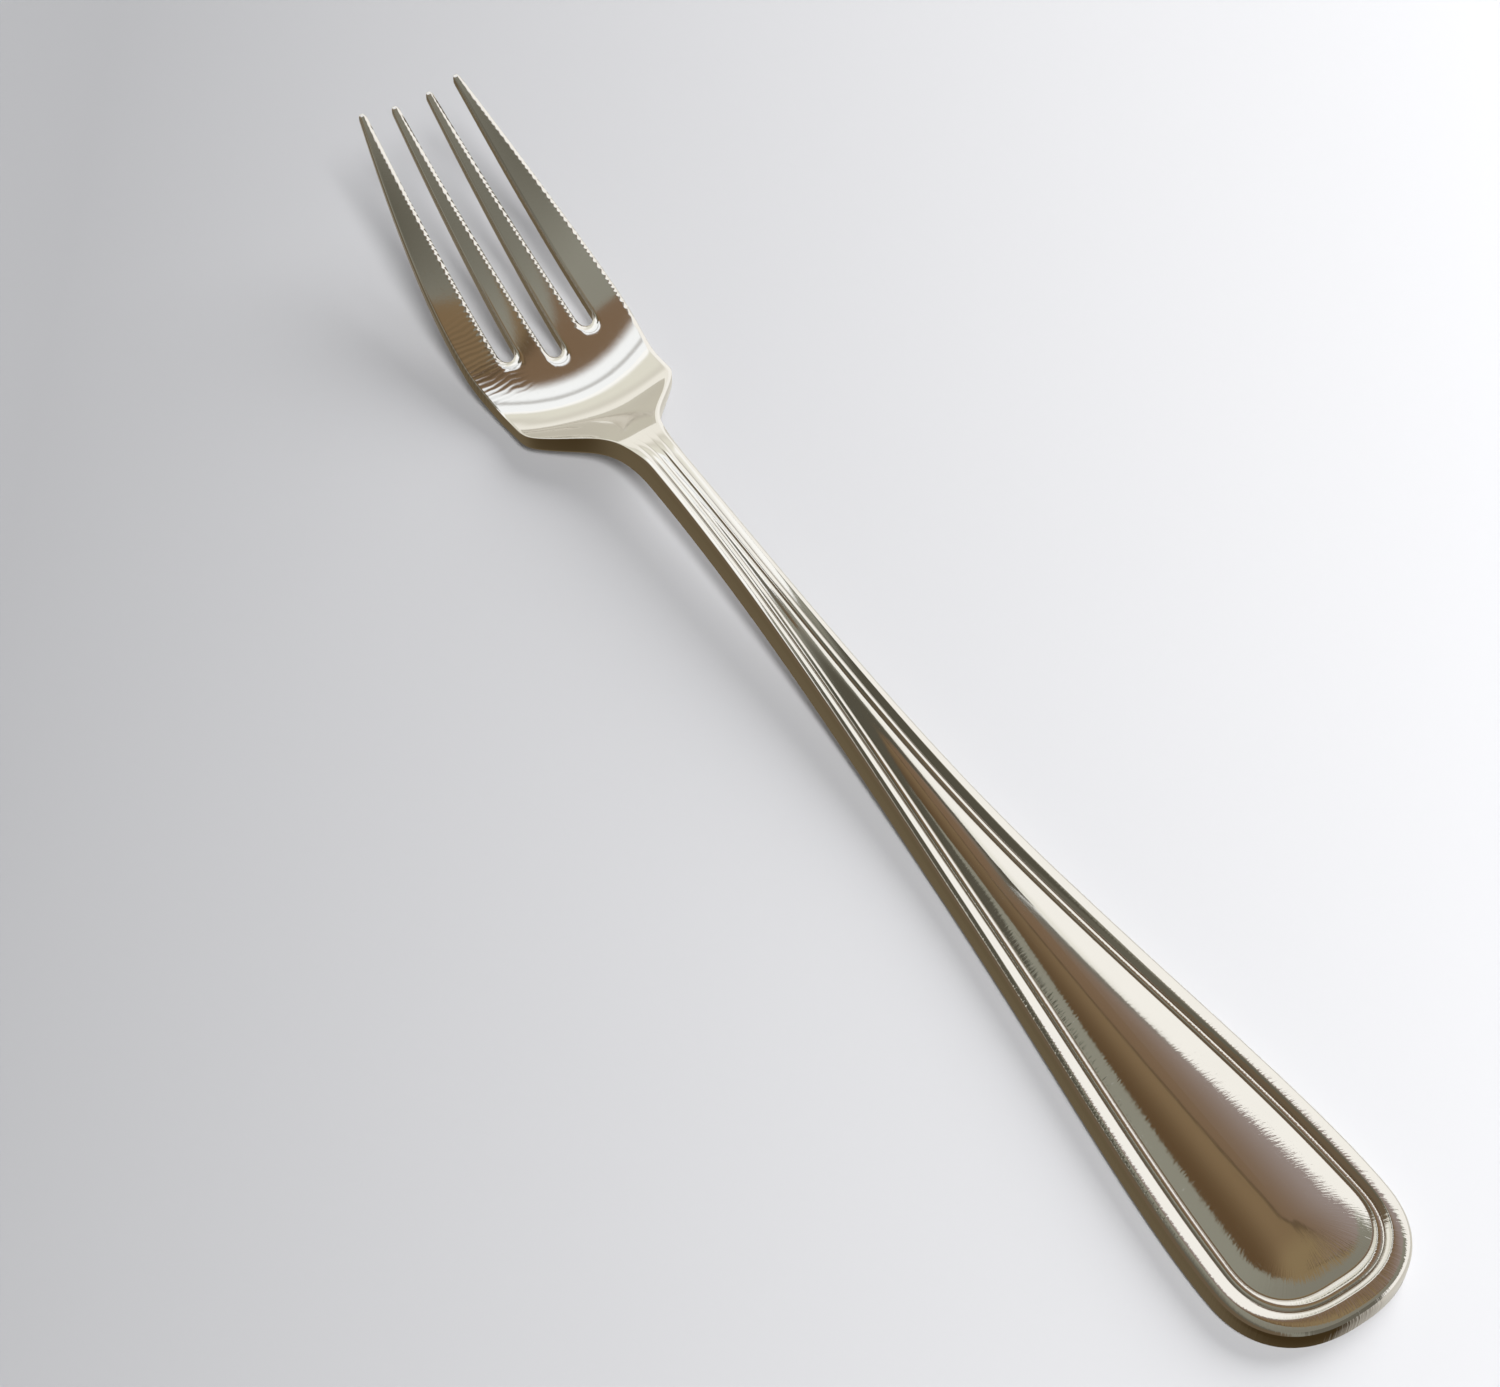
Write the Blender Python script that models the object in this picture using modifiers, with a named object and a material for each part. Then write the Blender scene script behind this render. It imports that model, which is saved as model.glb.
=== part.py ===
"""Four-tined fork, stamped and polished from one blank of stainless steel.

Metres, +Z up. +Y runs from the handle's end to the tine tips and +X to the right of it. The origin lies
under the middle of the fork's box, on the surface that the fork rests on: the back of the handle's end
and the belly of the head touch that surface on small flats.
"""

import math

import bmesh
import bpy

MM = 0.001
DEGREE = math.pi / 180

# Lengths in plan, one after the other from the handle's end to the tine tips
END_ROUND = 10.2 * MM           # rounded end of the handle
TAPER_LENGTH = 115.1 * MM       # rounded end to the narrowest place of the neck
FLARE_LENGTH = 13.4 * MM        # neck to the place where the heel spreads fastest
SHOULDER_LENGTH = 6.7 * MM      # that place to the full shoulders
PALM_LENGTH = 9.0 * MM          # full shoulders to the widest place of the head
TINE_REACH = 31.1 * MM          # widest place to the outer tips
INNER_TIP_BACK = 0.6 * MM       # how far the inner tips stay behind the outer ones

# Widths in plan
END_WIDTH = 22.1 * MM
NECK_WIDTH = 4.9 * MM
FLARE_WIDTH = 15.9 * MM
SHOULDER_WIDTH = 20.9 * MM
HEAD_WIDTH = 22.4 * MM
TIP_WIDTH = 1.05 * MM
TIP_ROUND = 0.45 * MM           # radius of the corners of each tip
INNER_TIP_SPACING = 4.8 * MM    # between the middles of the two inner tips
OUTER_TIP_SPACING = 13.2 * MM   # between the middles of the two outer tips

# Roundness of the outline: how far each curve keeps the direction it starts or ends with
END_SQUARENESS = 2.37           # 2 is an ellipse, more is squarer
TAPER_PULL_AT_END = 20.5 * MM
TAPER_PULL_AT_NECK = 63.9 * MM
HEEL_PULL_AT_NECK = 9.1 * MM
FLARE_PULL_TO_NECK = 5.1 * MM
FLARE_PULL_TO_SHOULDER = 4.2 * MM
HEEL_PULL_AT_SHOULDER = 3.9 * MM
PALM_PULL = 3.0 * MM
TINE_PULL_AT_PALM = 8.2 * MM
TINE_PULL_AT_TIP = 11.7 * MM
FLARE_ANGLE = 43.0 * DEGREE     # how far the heel's sides open where it spreads fastest
SHOULDER_ANGLE = 3.0 * DEGREE   # how far the head's sides still open at the shoulders
TIP_TAPER = 11.9 * DEGREE       # how far the outer sides close at the tips

# Slots between the tines
SLOT_WIDTH = 2.25 * MM          # at the round bottom
OUTER_SLOT_SPACING = 11.1 * MM  # between the middles of the two outer slots, at the bottom
MIDDLE_SLOT_LENGTH = 34.1 * MM      # up to the outer tips
OUTER_SLOT_LENGTH = 32.2 * MM
SLOT_SIDE_CURVE = 1.2           # 1 is a straight taper of the tines, more tapers nearer the tip

# Side view: how high the back of the sheet lifts off the table
REST_LENGTH = 58.0 * MM         # length of the handle that lies flat
CREST_PAST_NECK = 1.3 * MM
CREST_LIFT = 4.15 * MM
BELLY_BEFORE_SHOULDER = 1.3 * MM
TIP_LIFT = 18.75 * MM
TINE_CURL = 1.37                # 1 is a straight rise to the tips, more bends later
WORN_FLAT = 0.15 * MM           # depth that the resting places are worn flat

# Thickness of the metal
END_THICKNESS = 3.2 * MM
NECK_THICKNESS = 3.7 * MM
PALM_THICKNESS = 2.05 * MM
TIP_THICKNESS = 1.0 * MM

# Threads on the handle's face: a broad rim, a narrow bead inside it and a crowned panel
RIM_WIDTH = 2.55 * MM           # beside the panel's widest place
RIM_WIDTH_ROUND_END = 2.9 * MM
RIM_WIDTH_AT_NECK = 1.25 * MM
RIM_SHOULDER = 1.1 * MM         # how far the rim rounds down to the side wall
RIM_FOOT_ANGLE = 46 * DEGREE    # where the rim meets the groove along the sides
BEAD_WIDTH = 1.0 * MM
BEAD_WIDTH_ROUND_END = 1.4 * MM
BEAD_WIDTH_AT_NECK = 0.85 * MM
BEAD_FOOT_ANGLE = 50 * DEGREE
BEAD_STEP_ROUND_END = 0.2 * MM  # how much lower the groove inside the bead lies round the end
PANEL_FOOT_ANGLE = 22 * DEGREE
PANEL_END_DEPTH = 12.0 * MM     # handle's end to the place where the panel starts to round down
PANEL_END_FAN = 3               # how soon the spokes round the end level out along the sides
BACK_EDGE_ROUND = 0.6 * MM      # rounding along the handle's back
THREAD_FADE = 7.0 * MM          # length over which the threads run out past the neck

# Head
EDGE_ROUND = 0.35 * MM
DISH_DEPTH = 0.75 * MM          # how far the sides of the palm stand above its middle
BELLY_BOW = 2.6 * MM            # how far the belly's line bends towards the tips at the sides

STEEL_COLOUR = (0.60, 0.57, 0.53, 1.0)
STEEL_ROUGHNESS = 0.12

WELD_DISTANCE = 0.001 * MM
CUTTER_MARGIN = 2.0 * MM        # how far the slot cutters reach past the metal
TRIM_OVERLAP = 0.05 * MM        # how far they reach past the middle of an inner tine's end
SHARP_ANGLE = 35 * DEGREE

# Steps along each stretch of the outline, and round an arc
END_STEPS = 8
TAPER_STEPS = 24
FLARE_STEPS = 8
SHOULDER_STEPS = 9
PALM_STEPS = 7
TINE_STEPS = 12
TIP_STEPS = 3
SLOT_SIDE_STEPS = 8
SLOT_BOTTOM_STEPS = 10
EDGE_TURNS = (90 * DEGREE, 55 * DEGREE, 25 * DEGREE, 0.0)  # lanes round the edge, wall to crest
THREAD_LANES = 3                                           # groove, bead and groove
PANEL_SHARES = (1 / 3, 2 / 3, 1.0)                         # lanes across the panel, foot to middle

# Places along the fork, from the handle's end
NECK_Y = END_ROUND + TAPER_LENGTH
FLARE_Y = NECK_Y + FLARE_LENGTH
SHOULDER_Y = FLARE_Y + SHOULDER_LENGTH
WIDEST_Y = SHOULDER_Y + PALM_LENGTH
TIP_Y = WIDEST_Y + TINE_REACH
CREST_Y = NECK_Y + CREST_PAST_NECK
BELLY_Y = SHOULDER_Y - BELLY_BEFORE_SHOULDER
MIDDLE_Y = TIP_Y / 2

END_HALF = END_WIDTH / 2
NECK_HALF = NECK_WIDTH / 2
FLARE_HALF = FLARE_WIDTH / 2
SHOULDER_HALF = SHOULDER_WIDTH / 2
HEAD_HALF = HEAD_WIDTH / 2
TIP_HALF = TIP_WIDTH / 2
TIPS_HALF = OUTER_TIP_SPACING / 2 + TIP_HALF
INNER_TIP_Y = TIP_Y - INNER_TIP_BACK


def mix(a, b, share):
    return a + (b - a) * share


def ease(share):
    """Smooth step from 0 to 1, flat at both ends."""
    share = min(max(share, 0.0), 1.0)
    return share * share * (3 - 2 * share)


def bezier(start, pull_start, pull_end, end, steps):
    """Points of a cubic curve in plan, without its first point."""
    points = []
    for step in range(1, steps + 1):
        t = step / steps
        weights = ((1 - t) ** 3, 3 * (1 - t) ** 2 * t, 3 * (1 - t) * t * t, t ** 3)
        corners = (start, pull_start, pull_end, end)
        points.append(tuple(sum(w * c[axis] for w, c in zip(weights, corners)) for axis in (0, 1)))
    return points


def end_point(turn):
    """Point of the handle's rounded end: turn 0 is its middle, a quarter turn its side."""
    power = 2 / END_SQUARENESS
    return END_HALF * math.sin(turn) ** power, END_ROUND * (1 - max(math.cos(turn), 0.0) ** power)


def side_outline():
    """Half of the plan outline past the rounded end, from its side to the outer tine's tip."""
    flare_x = math.sin(FLARE_ANGLE)
    flare_y = math.cos(FLARE_ANGLE)
    opening = math.tan(SHOULDER_ANGLE)
    taper = math.tan(TIP_TAPER)
    tip_start = TIP_Y - TIP_ROUND
    end = (END_HALF, END_ROUND)
    neck = (NECK_HALF, NECK_Y)
    flare = (FLARE_HALF, FLARE_Y)
    shoulder = (SHOULDER_HALF, SHOULDER_Y)
    widest = (HEAD_HALF, WIDEST_Y)
    tip = (TIPS_HALF, tip_start)
    points = bezier(end, (END_HALF, END_ROUND + TAPER_PULL_AT_END),
                    (NECK_HALF, NECK_Y - TAPER_PULL_AT_NECK), neck, TAPER_STEPS)
    points += bezier(neck, (NECK_HALF, NECK_Y + HEEL_PULL_AT_NECK),
                     (FLARE_HALF - flare_x * FLARE_PULL_TO_NECK, FLARE_Y - flare_y * FLARE_PULL_TO_NECK),
                     flare, FLARE_STEPS)
    points += bezier(flare, (FLARE_HALF + flare_x * FLARE_PULL_TO_SHOULDER,
                             FLARE_Y + flare_y * FLARE_PULL_TO_SHOULDER),
                     (SHOULDER_HALF - opening * HEEL_PULL_AT_SHOULDER, SHOULDER_Y - HEEL_PULL_AT_SHOULDER),
                     shoulder, SHOULDER_STEPS)
    points += bezier(shoulder, (SHOULDER_HALF + opening * PALM_PULL, SHOULDER_Y + PALM_PULL),
                     (HEAD_HALF, WIDEST_Y - PALM_PULL), widest, PALM_STEPS)
    points += bezier(widest, (HEAD_HALF, WIDEST_Y + TINE_PULL_AT_PALM),
                     (TIPS_HALF + taper * TINE_PULL_AT_TIP, tip_start - TINE_PULL_AT_TIP), tip, TINE_STEPS)
    for step in range(1, TIP_STEPS + 1):
        turn = math.pi / 2 * step / TIP_STEPS
        points.append((TIPS_HALF - TIP_ROUND * (1 - math.cos(turn)), tip_start + TIP_ROUND * math.sin(turn)))
    return points


def lift(y):
    """Height of the sheet's back above the table, before the resting places are worn flat."""
    if y < CREST_Y:
        arch = CREST_LIFT * ease((y - REST_LENGTH) / (CREST_Y - REST_LENGTH))
    else:
        arch = CREST_LIFT * (1 - ease((y - CREST_Y) / (BELLY_Y - CREST_Y)))
    rise = max(y - BELLY_Y, 0.0) / (TIP_Y - BELLY_Y)
    return arch + TIP_LIFT * rise ** TINE_CURL


def thickness(y):
    """Thickness of the sheet, measured at the rim's crest on the handle."""
    if y < CREST_Y:
        return mix(END_THICKNESS, NECK_THICKNESS, y / CREST_Y)
    if y < BELLY_Y:
        return mix(NECK_THICKNESS, PALM_THICKNESS, ease((y - CREST_Y) / (BELLY_Y - CREST_Y)))
    return mix(PALM_THICKNESS, TIP_THICKNESS, (y - BELLY_Y) / (TIP_Y - BELLY_Y))


def arc_height(width, foot_angle):
    """Height of an arc that stands on a foot of this width and meets it at this angle."""
    return width / 2 * math.tan(foot_angle / 2)


def axis_point(outer):
    """Where the spoke from a point of the outline meets the axis: level with it, but fanned round the end."""
    return 0.0, (outer[1] ** PANEL_END_FAN + PANEL_END_DEPTH ** PANEL_END_FAN) ** (1 / PANEL_END_FAN)


def handle_section(spoke, half, round_end):
    """Lanes across the handle from the outline to the axis: (distance in, face height, back height).

    round_end is 1 at the middle of the rounded end and 0 along the sides. Heights are counted from the
    rim's crest and from the plain back.
    """
    grown = (half - NECK_HALF) / (END_HALF - NECK_HALF)
    side_rim = mix(RIM_WIDTH_AT_NECK, RIM_WIDTH, grown)
    rim = mix(side_rim, RIM_WIDTH_ROUND_END, round_end)
    side_bead = mix(BEAD_WIDTH_AT_NECK, BEAD_WIDTH, grown)
    bead = mix(side_bead, BEAD_WIDTH_ROUND_END, round_end)
    crown = arc_height(2 * (half - side_rim - side_bead), PANEL_FOOT_ANGLE)
    groove = -arc_height(side_rim, RIM_FOOT_ANGLE)
    step = BEAD_STEP_ROUND_END * round_end
    lanes = []
    for turn in EDGE_TURNS:
        drop = 1 - math.cos(turn)
        lanes.append((rim / 2 * (1 - math.sin(turn)), -RIM_SHOULDER * drop, BACK_EDGE_ROUND * drop))
    lanes.append((rim, groove, 0.0))
    lanes.append((rim + bead / 2, groove + arc_height(side_bead, BEAD_FOOT_ANGLE) - step / 2, 0.0))
    lanes.append((rim + bead, groove - step, 0.0))
    for share in PANEL_SHARES:
        lanes.append((mix(rim + bead, spoke, share), groove + mix(crown, -step, (1 - share) ** 2), 0.0))
    return lanes


def head_section(half):
    """Lanes across the head, in the form that handle_section gives: a flat face with rounded edges."""
    lanes = []
    for turn in EDGE_TURNS:
        drop = EDGE_ROUND * (1 - math.cos(turn))
        lanes.append((EDGE_ROUND * (1 - math.sin(turn)), -drop, drop))
    inner_lanes = THREAD_LANES + len(PANEL_SHARES)
    for lane in range(1, inner_lanes + 1):
        lanes.append((mix(EDGE_ROUND, half, lane / inner_lanes), 0.0, 0.0))
    return lanes


def sideways(x, y, half):
    """How far a place lies towards the sides of the palm: 0 on the axis, on the handle and at the tips."""
    opened = ease((y - NECK_Y) / (SHOULDER_Y - NECK_Y)) * (1 - ease((y - WIDEST_Y) / TINE_REACH))
    return opened * (x / half) ** 2


def stations():
    """Each spoke of the half sheet: its outer point, its point on the axis, and its lanes."""
    for step in range(END_STEPS + 1):
        turn = math.pi / 2 * step / END_STEPS
        outer = end_point(turn)
        axis = axis_point(outer)
        yield outer, axis, handle_section(math.dist(outer, axis), END_HALF, math.cos(turn) ** 2)
    for outer in side_outline():
        half, y = outer
        if y < NECK_Y + THREAD_FADE:
            axis = axis_point(outer)
            faded = ease((y - NECK_Y) / THREAD_FADE)
            pairs = zip(handle_section(math.dist(outer, axis), half, 0.0), head_section(half))
            yield outer, axis, [tuple(mix(a, b, faded) for a, b in zip(*pair)) for pair in pairs]
        else:
            yield outer, (0.0, y), head_section(half)


def half_sheet():
    """The right half of the fork before the slots, open along the plane of symmetry."""
    rows = list(stations())
    lane_count = len(rows[0][2])
    sheet = bmesh.new()
    bmesh.ops.create_grid(sheet, x_segments=lane_count - 1, y_segments=len(rows) - 1, size=1.0)
    back_height = sheet.verts.layers.float.new("back_height")
    for index, vertex in enumerate(sheet.verts):
        row, lane = divmod(index, lane_count)
        outer, axis, lanes = rows[row]
        distance, face, back = lanes[lane]
        share = distance / math.dist(outer, axis)
        y = mix(outer[1], axis[1], share)
        on_axis = row == 0 or lane == lane_count - 1
        x = 0.0 if on_axis else mix(outer[0], axis[0], share)
        aside = 0.0 if on_axis else sideways(x, y, outer[0])
        plain_back = lift(y - BELLY_BOW * aside) + DISH_DEPTH * aside
        vertex.co = (x, y - MIDDLE_Y, plain_back + thickness(y) + face)
        vertex[back_height] = max(plain_back - WORN_FLAT, 0.0) + back
    extruded = bmesh.ops.extrude_face_region(sheet, geom=sheet.faces[:], use_keep_orig=True)
    for element in extruded["geom"]:
        if isinstance(element, bmesh.types.BMVert):
            element.co.z = element[back_height]
    on_plane = [face for face in sheet.faces if all(vertex.co.x == 0.0 for vertex in face.verts)]
    bmesh.ops.delete(sheet, geom=on_plane, context="FACES_ONLY")
    bmesh.ops.recalc_face_normals(sheet, faces=sheet.faces[:])
    sheet.verts.layers.float.remove(back_height)
    return sheet


def slot_outline(bottom_x, length, left_tip, right_tip):
    """Plan outline of one slot: a round bottom, two tapering sides and rounded tine tips at its mouth.

    Each tip is the place where that side would meet the end of its tine. Where the tine is an inner one,
    the outline also runs past the middle of the tine's end, to trim it to its length.
    """
    radius = SLOT_WIDTH / 2
    centre_y = TIP_Y - length + radius
    points = []
    for step in range(SLOT_BOTTOM_STEPS + 1):
        turn = math.pi * (1 + step / SLOT_BOTTOM_STEPS)
        points.append((bottom_x + radius * math.cos(turn), centre_y + radius * math.sin(turn)))
    sides = []
    for direction, (tip_x, tip_y) in ((1, right_tip), (-1, left_tip)):
        side = []
        tip_start = tip_y - TIP_ROUND
        for step in range(1, SLOT_SIDE_STEPS + 1):
            share = step / SLOT_SIDE_STEPS
            side.append((mix(bottom_x + direction * radius, tip_x, share ** SLOT_SIDE_CURVE),
                         mix(centre_y, tip_start, share)))
        for step in range(1, TIP_STEPS + 1):
            turn = math.pi / 2 * step / TIP_STEPS
            side.append((tip_x + direction * TIP_ROUND * (1 - math.cos(turn)),
                         tip_start + TIP_ROUND * math.sin(turn)))
        if tip_y < TIP_Y:
            side.append((tip_x + direction * (TIP_HALF + TRIM_OVERLAP), tip_y))
        side.append((side[-1][0], TIP_Y + CUTTER_MARGIN))
        sides.append(side)
    return points + sides[0] + sides[1][::-1]


def slot_cutter(name, outline, collection):
    """A tall prism on the slot's outline, as a mesh that a Boolean can use."""
    bottom = -CUTTER_MARGIN
    top = TIP_LIFT + TIP_THICKNESS + DISH_DEPTH + CUTTER_MARGIN
    curve = bpy.data.curves.new(name, "CURVE")
    curve.dimensions = "2D"
    curve.fill_mode = "BOTH"
    curve.extrude = (top - bottom) / 2
    spline = curve.splines.new("POLY")
    spline.points.add(len(outline) - 1)
    spline.use_cyclic_u = True
    for point, (x, y) in zip(spline.points, outline):
        point.co = (x, y - MIDDLE_Y, 0.0, 1.0)
    drawn = bpy.data.objects.new(name + "_outline", curve)
    collection.objects.link(drawn)
    drawn.location.z = (top + bottom) / 2
    bpy.context.view_layer.update()
    mesh = bpy.data.meshes.new_from_object(drawn.evaluated_get(bpy.context.evaluated_depsgraph_get()))
    prism = bmesh.new()
    prism.from_mesh(mesh)
    bmesh.ops.remove_doubles(prism, verts=prism.verts[:], dist=WELD_DISTANCE)
    bmesh.ops.recalc_face_normals(prism, faces=prism.faces[:])
    prism.to_mesh(mesh)
    prism.free()
    cutter = bpy.data.objects.new(name, mesh)
    cutter.matrix_world = drawn.matrix_world
    cutter.hide_render = True
    cutter.display_type = "WIRE"
    collection.objects.link(cutter)
    bpy.data.objects.remove(drawn)
    return cutter


def slot_cutters(collection):
    """The cutters of the middle slot and of the two outer slots."""
    inner_tip = INNER_TIP_SPACING / 2
    outer_tip = OUTER_TIP_SPACING / 2
    middle = slot_outline(0.0, MIDDLE_SLOT_LENGTH,
                          (TIP_HALF - inner_tip, INNER_TIP_Y), (inner_tip - TIP_HALF, INNER_TIP_Y))
    right = slot_outline(OUTER_SLOT_SPACING / 2, OUTER_SLOT_LENGTH,
                         (inner_tip + TIP_HALF, INNER_TIP_Y), (outer_tip - TIP_HALF, TIP_Y))
    left = [(-x, y) for x, y in reversed(right)]
    outlines = {"middle_slot_cutter": middle, "right_slot_cutter": right, "left_slot_cutter": left}
    return [slot_cutter(name, outline, collection) for name, outline in outlines.items()]


def polished_steel():
    material = bpy.data.materials.new("polished_steel")
    material.use_nodes = True
    shader = material.node_tree.nodes["Principled BSDF"]
    shader.inputs["Base Color"].default_value = STEEL_COLOUR
    shader.inputs["Metallic"].default_value = 1.0
    shader.inputs["Roughness"].default_value = STEEL_ROUGHNESS
    return material


def make_fork(collection, cutters):
    """The fork: the half sheet mirrored, with the slots cut out of it."""
    mesh = bpy.data.meshes.new("fork")
    sheet = half_sheet()
    sheet.to_mesh(mesh)
    sheet.free()
    mesh.materials.append(polished_steel())
    mesh.shade_smooth()
    mesh.set_sharp_from_angle(angle=SHARP_ANGLE)
    fork = bpy.data.objects.new("fork", mesh)
    collection.objects.link(fork)
    mirror = fork.modifiers.new("other_half", "MIRROR")
    mirror.use_axis = (True, False, False)
    mirror.merge_threshold = WELD_DISTANCE
    for cutter in cutters:
        slot = fork.modifiers.new(cutter.name, "BOOLEAN")
        slot.operation = "DIFFERENCE"
        slot.solver = "EXACT"
        slot.object = cutter
    return fork


def new_collection(name):
    collection = bpy.data.collections.new(name)
    bpy.context.scene.collection.children.link(collection)
    return collection


def main():
    for old in list(bpy.data.objects):
        bpy.data.objects.remove(old)
    parts = new_collection("fish_fork")
    cutters = new_collection("fish_fork_cutters")
    make_fork(parts, slot_cutters(cutters))


main()
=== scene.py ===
"""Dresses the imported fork: a body of polished steel, a pale studio floor, soft light and a camera."""

import math
from collections import namedtuple
from types import SimpleNamespace

import bmesh
import bpy
import numpy as np
from mathutils import Matrix, Vector


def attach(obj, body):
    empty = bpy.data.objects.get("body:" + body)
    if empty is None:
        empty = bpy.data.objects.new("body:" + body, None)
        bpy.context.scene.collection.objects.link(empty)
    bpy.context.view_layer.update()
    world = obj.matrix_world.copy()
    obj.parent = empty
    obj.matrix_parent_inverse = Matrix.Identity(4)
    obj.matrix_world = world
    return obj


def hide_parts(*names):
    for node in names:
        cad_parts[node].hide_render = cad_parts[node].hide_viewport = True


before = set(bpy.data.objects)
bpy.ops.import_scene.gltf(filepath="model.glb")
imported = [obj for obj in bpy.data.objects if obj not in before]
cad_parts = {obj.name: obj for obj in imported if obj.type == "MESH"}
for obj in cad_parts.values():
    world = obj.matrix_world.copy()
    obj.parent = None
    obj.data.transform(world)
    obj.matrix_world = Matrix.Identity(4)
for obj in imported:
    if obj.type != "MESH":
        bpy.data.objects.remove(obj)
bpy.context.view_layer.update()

bl_info = {
    "name": "Polished fork",
    "version": (1, 0, 0),
    "blender": (4, 5, 0),
    "location": "View3D > Sidebar > Fork",
    "description": "Makes a polished steel fork and the studio stage that it lies on",
    "category": "Object",
}

MM = 0.001
IMAGE_WIDTH = 1500
SENSOR_WIDTH = 36.0
CLIP_START = 0.01

# Lanes across one half of the fork, from the outline to the plane of symmetry. The same lanes make the rim,
# thread and panel of the handle, and the tines and slots of the head.
EDGE_LANES = 7
TINE_LANES = 2 * EDGE_LANES + 6
SLOT_LANES = 8
HALF_SLOT_LANES = SLOT_LANES // 2
RIM_OUTER_LANES = 13
RIM_INNER_LANES = 10
BEAD_LANES = 12
PANEL_LANES = 2 * TINE_LANES + SLOT_LANES + HALF_SLOT_LANES - RIM_OUTER_LANES - RIM_INNER_LANES - BEAD_LANES
OUTER_SLOT_LANE = TINE_LANES
INNER_TINE_LANE = OUTER_SLOT_LANE + SLOT_LANES
HALF_SLOT_LANE = INNER_TINE_LANE + TINE_LANES
LAST_LANE = HALF_SLOT_LANE + HALF_SLOT_LANES
FOOT_LANE = RIM_OUTER_LANES + RIM_INNER_LANES + BEAD_LANES

# Rows along each stretch of the fork
END_ROWS = 28
TAPER_ROWS = 100
HEEL_ROWS = 62
ROOT_ROWS = 14
FORK_ROWS = 14
TINE_ROWS = 300
TIP_ROWS = 5
CURVE_STEPS = 200
WELD = 0.0001 * MM
ROOT_SPAN = 3.0  # slot widths below the middle slot over which the lanes bend towards the slots
NEAREST = 0.1 * MM  # least distance from a slot's middle that a direction is taken at
BEAD_MIDDLE = 0.5  # from rim (0) to panel (1)
TICK_SHIFT = 900.0  # turns of the shear ticks from tine to tine, radians a metre
TICK_SWAY = 5.3 * MM  # length over which the ticks crowd and spread
TICK_CROWDING = 2.0  # how far the ticks crowd and spread, in radians
TICK_FADE = 0.85  # how much weaker the ticks are at the tips
EDGE_LIMIT = 0.42  # widest round-over of an edge, as a share of its tine's width
BEVEL_CURVE = 1.3  # 1 is a flat bevel
LEFT_EDGE = 0.35  # how wide the edges that face left are beside those that face right
SPREAD_TOP = 6.75  # turns the product of the spread's two slopes into 1 at its top
BRUSH_START = 0.17  # growth from neck (0) to end (1) at which the marks across the threads begin
BRUSH_LEFT = 2.0  # how soon they fade on the panel, on the left and on the right
BRUSH_RIGHT = 1.3
BRUSH_SLOPE = 1.5  # how soon they reach their full strength
PANEL_CROWDING = 1.4  # how much closer together the panel's lanes are at its foot

# Marks in the steel: noise in cells a metre, how it is stretched, where it shows, and how strongly
STREAK_CELLS = 9000.0
STREAK_STRETCH = (1.0, 0.04, 1.0)
HAIRLINE_CELLS = 6000.0
HAIRLINE_STRETCH = (1.0, 0.02, 1.0)
HAIRLINE_TURN = (0.0, 0.0, 0.35)
HAIRLINE_SHOWS = (0.68, 0.76)
HAIRLINE_ROUGHNESS = 0.05
HAIRLINE_RELIEF = 0.6
CLOUD_CELLS = 160.0
CLOUD_SHOWS = (0.35, 0.7)
CLOUD_TONE = 0.93
CLOUD_SHARE = 0.16
# Painted shade in the grooves: its least share, the share that the cloud adds, and the extra roughness there
GROOVE_SHADE_LEAST = 0.35
GROOVE_SHADE_CLOUD = 0.5
GROOVE_ROUGHNESS = 0.1
TOOTH_SPREAD = 0.2  # how soon the marks across the rim change along their own length
RIPPLE_CELLS = 260.0
RIPPLE_WANDER = 12.0
RIPPLE_SIDE = (-4.0 * MM, -6.5 * MM)
RIPPLE_ROOT = (55 * MM, 58 * MM)
RIPPLE_TIP = (69 * MM, 64 * MM)
# Painted reflection: dark stripes along the ripples, how dark their tone is and how strongly they show
RIPPLE_REFLECTION_TONE = 0.72
RIPPLE_REFLECTION_SHARE = 0.6

# A colour, and the places along an axis where it begins to cover what is under it and where it fully does
Paint = namedtuple("Paint", "start full colour share", defaults=(1.0,))

# A line of another colour: where it sets in and fades out again along an axis
Stripe = namedtuple("Stripe", "starts ends colour share")

# The room that the steel mirrors. Places are parts of a direction: x to the right, y to the tips, z up.
ROOM_BACK = (0.184, 0.174, 0.141)
ROOM_LEFT = (Paint(-0.05, -0.3, (0.318, 0.319, 0.268)), Paint(-0.35, -0.6, (0.187, 0.14, 0.09)))
FRONT_LOW = (1.2, 1.19, 1.12)
FRONT_HIGHER = (Paint(0.3, 0.45, (0.95, 0.935, 0.85)), Paint(0.45, 0.6, (1.05, 1.05, 0.95)),
                Paint(0.68, 0.78, (1.4, 1.43, 1.45)))
FRONT_STARTS = (0.1, 0.22)
FRONT_LEFT = (-0.62, -0.5)
ROOM_RIGHT = (1.3, 1.3, 1.27)
RIGHT_STARTS = (0.5, 0.62)
RIGHT_TOP = (0.8, 0.6)
TABLE_BACK = (0.065, 0.042, 0.017)
TABLE_FRONT = Paint(-0.6, 0.5, (0.17, 0.132, 0.078))
TABLE_RIGHT = Paint(0.2, 0.6, (0.85, 0.83, 0.77))
TABLE_FAR = (1.05, 1.03, 0.94)
TABLE_FAR_LOW = Paint(-0.02, -0.4, (0.5, 0.48, 0.43))
TABLE_FAR_STARTS = (0.62, 0.85)
HORIZON = (0.02, -0.06)

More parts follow.
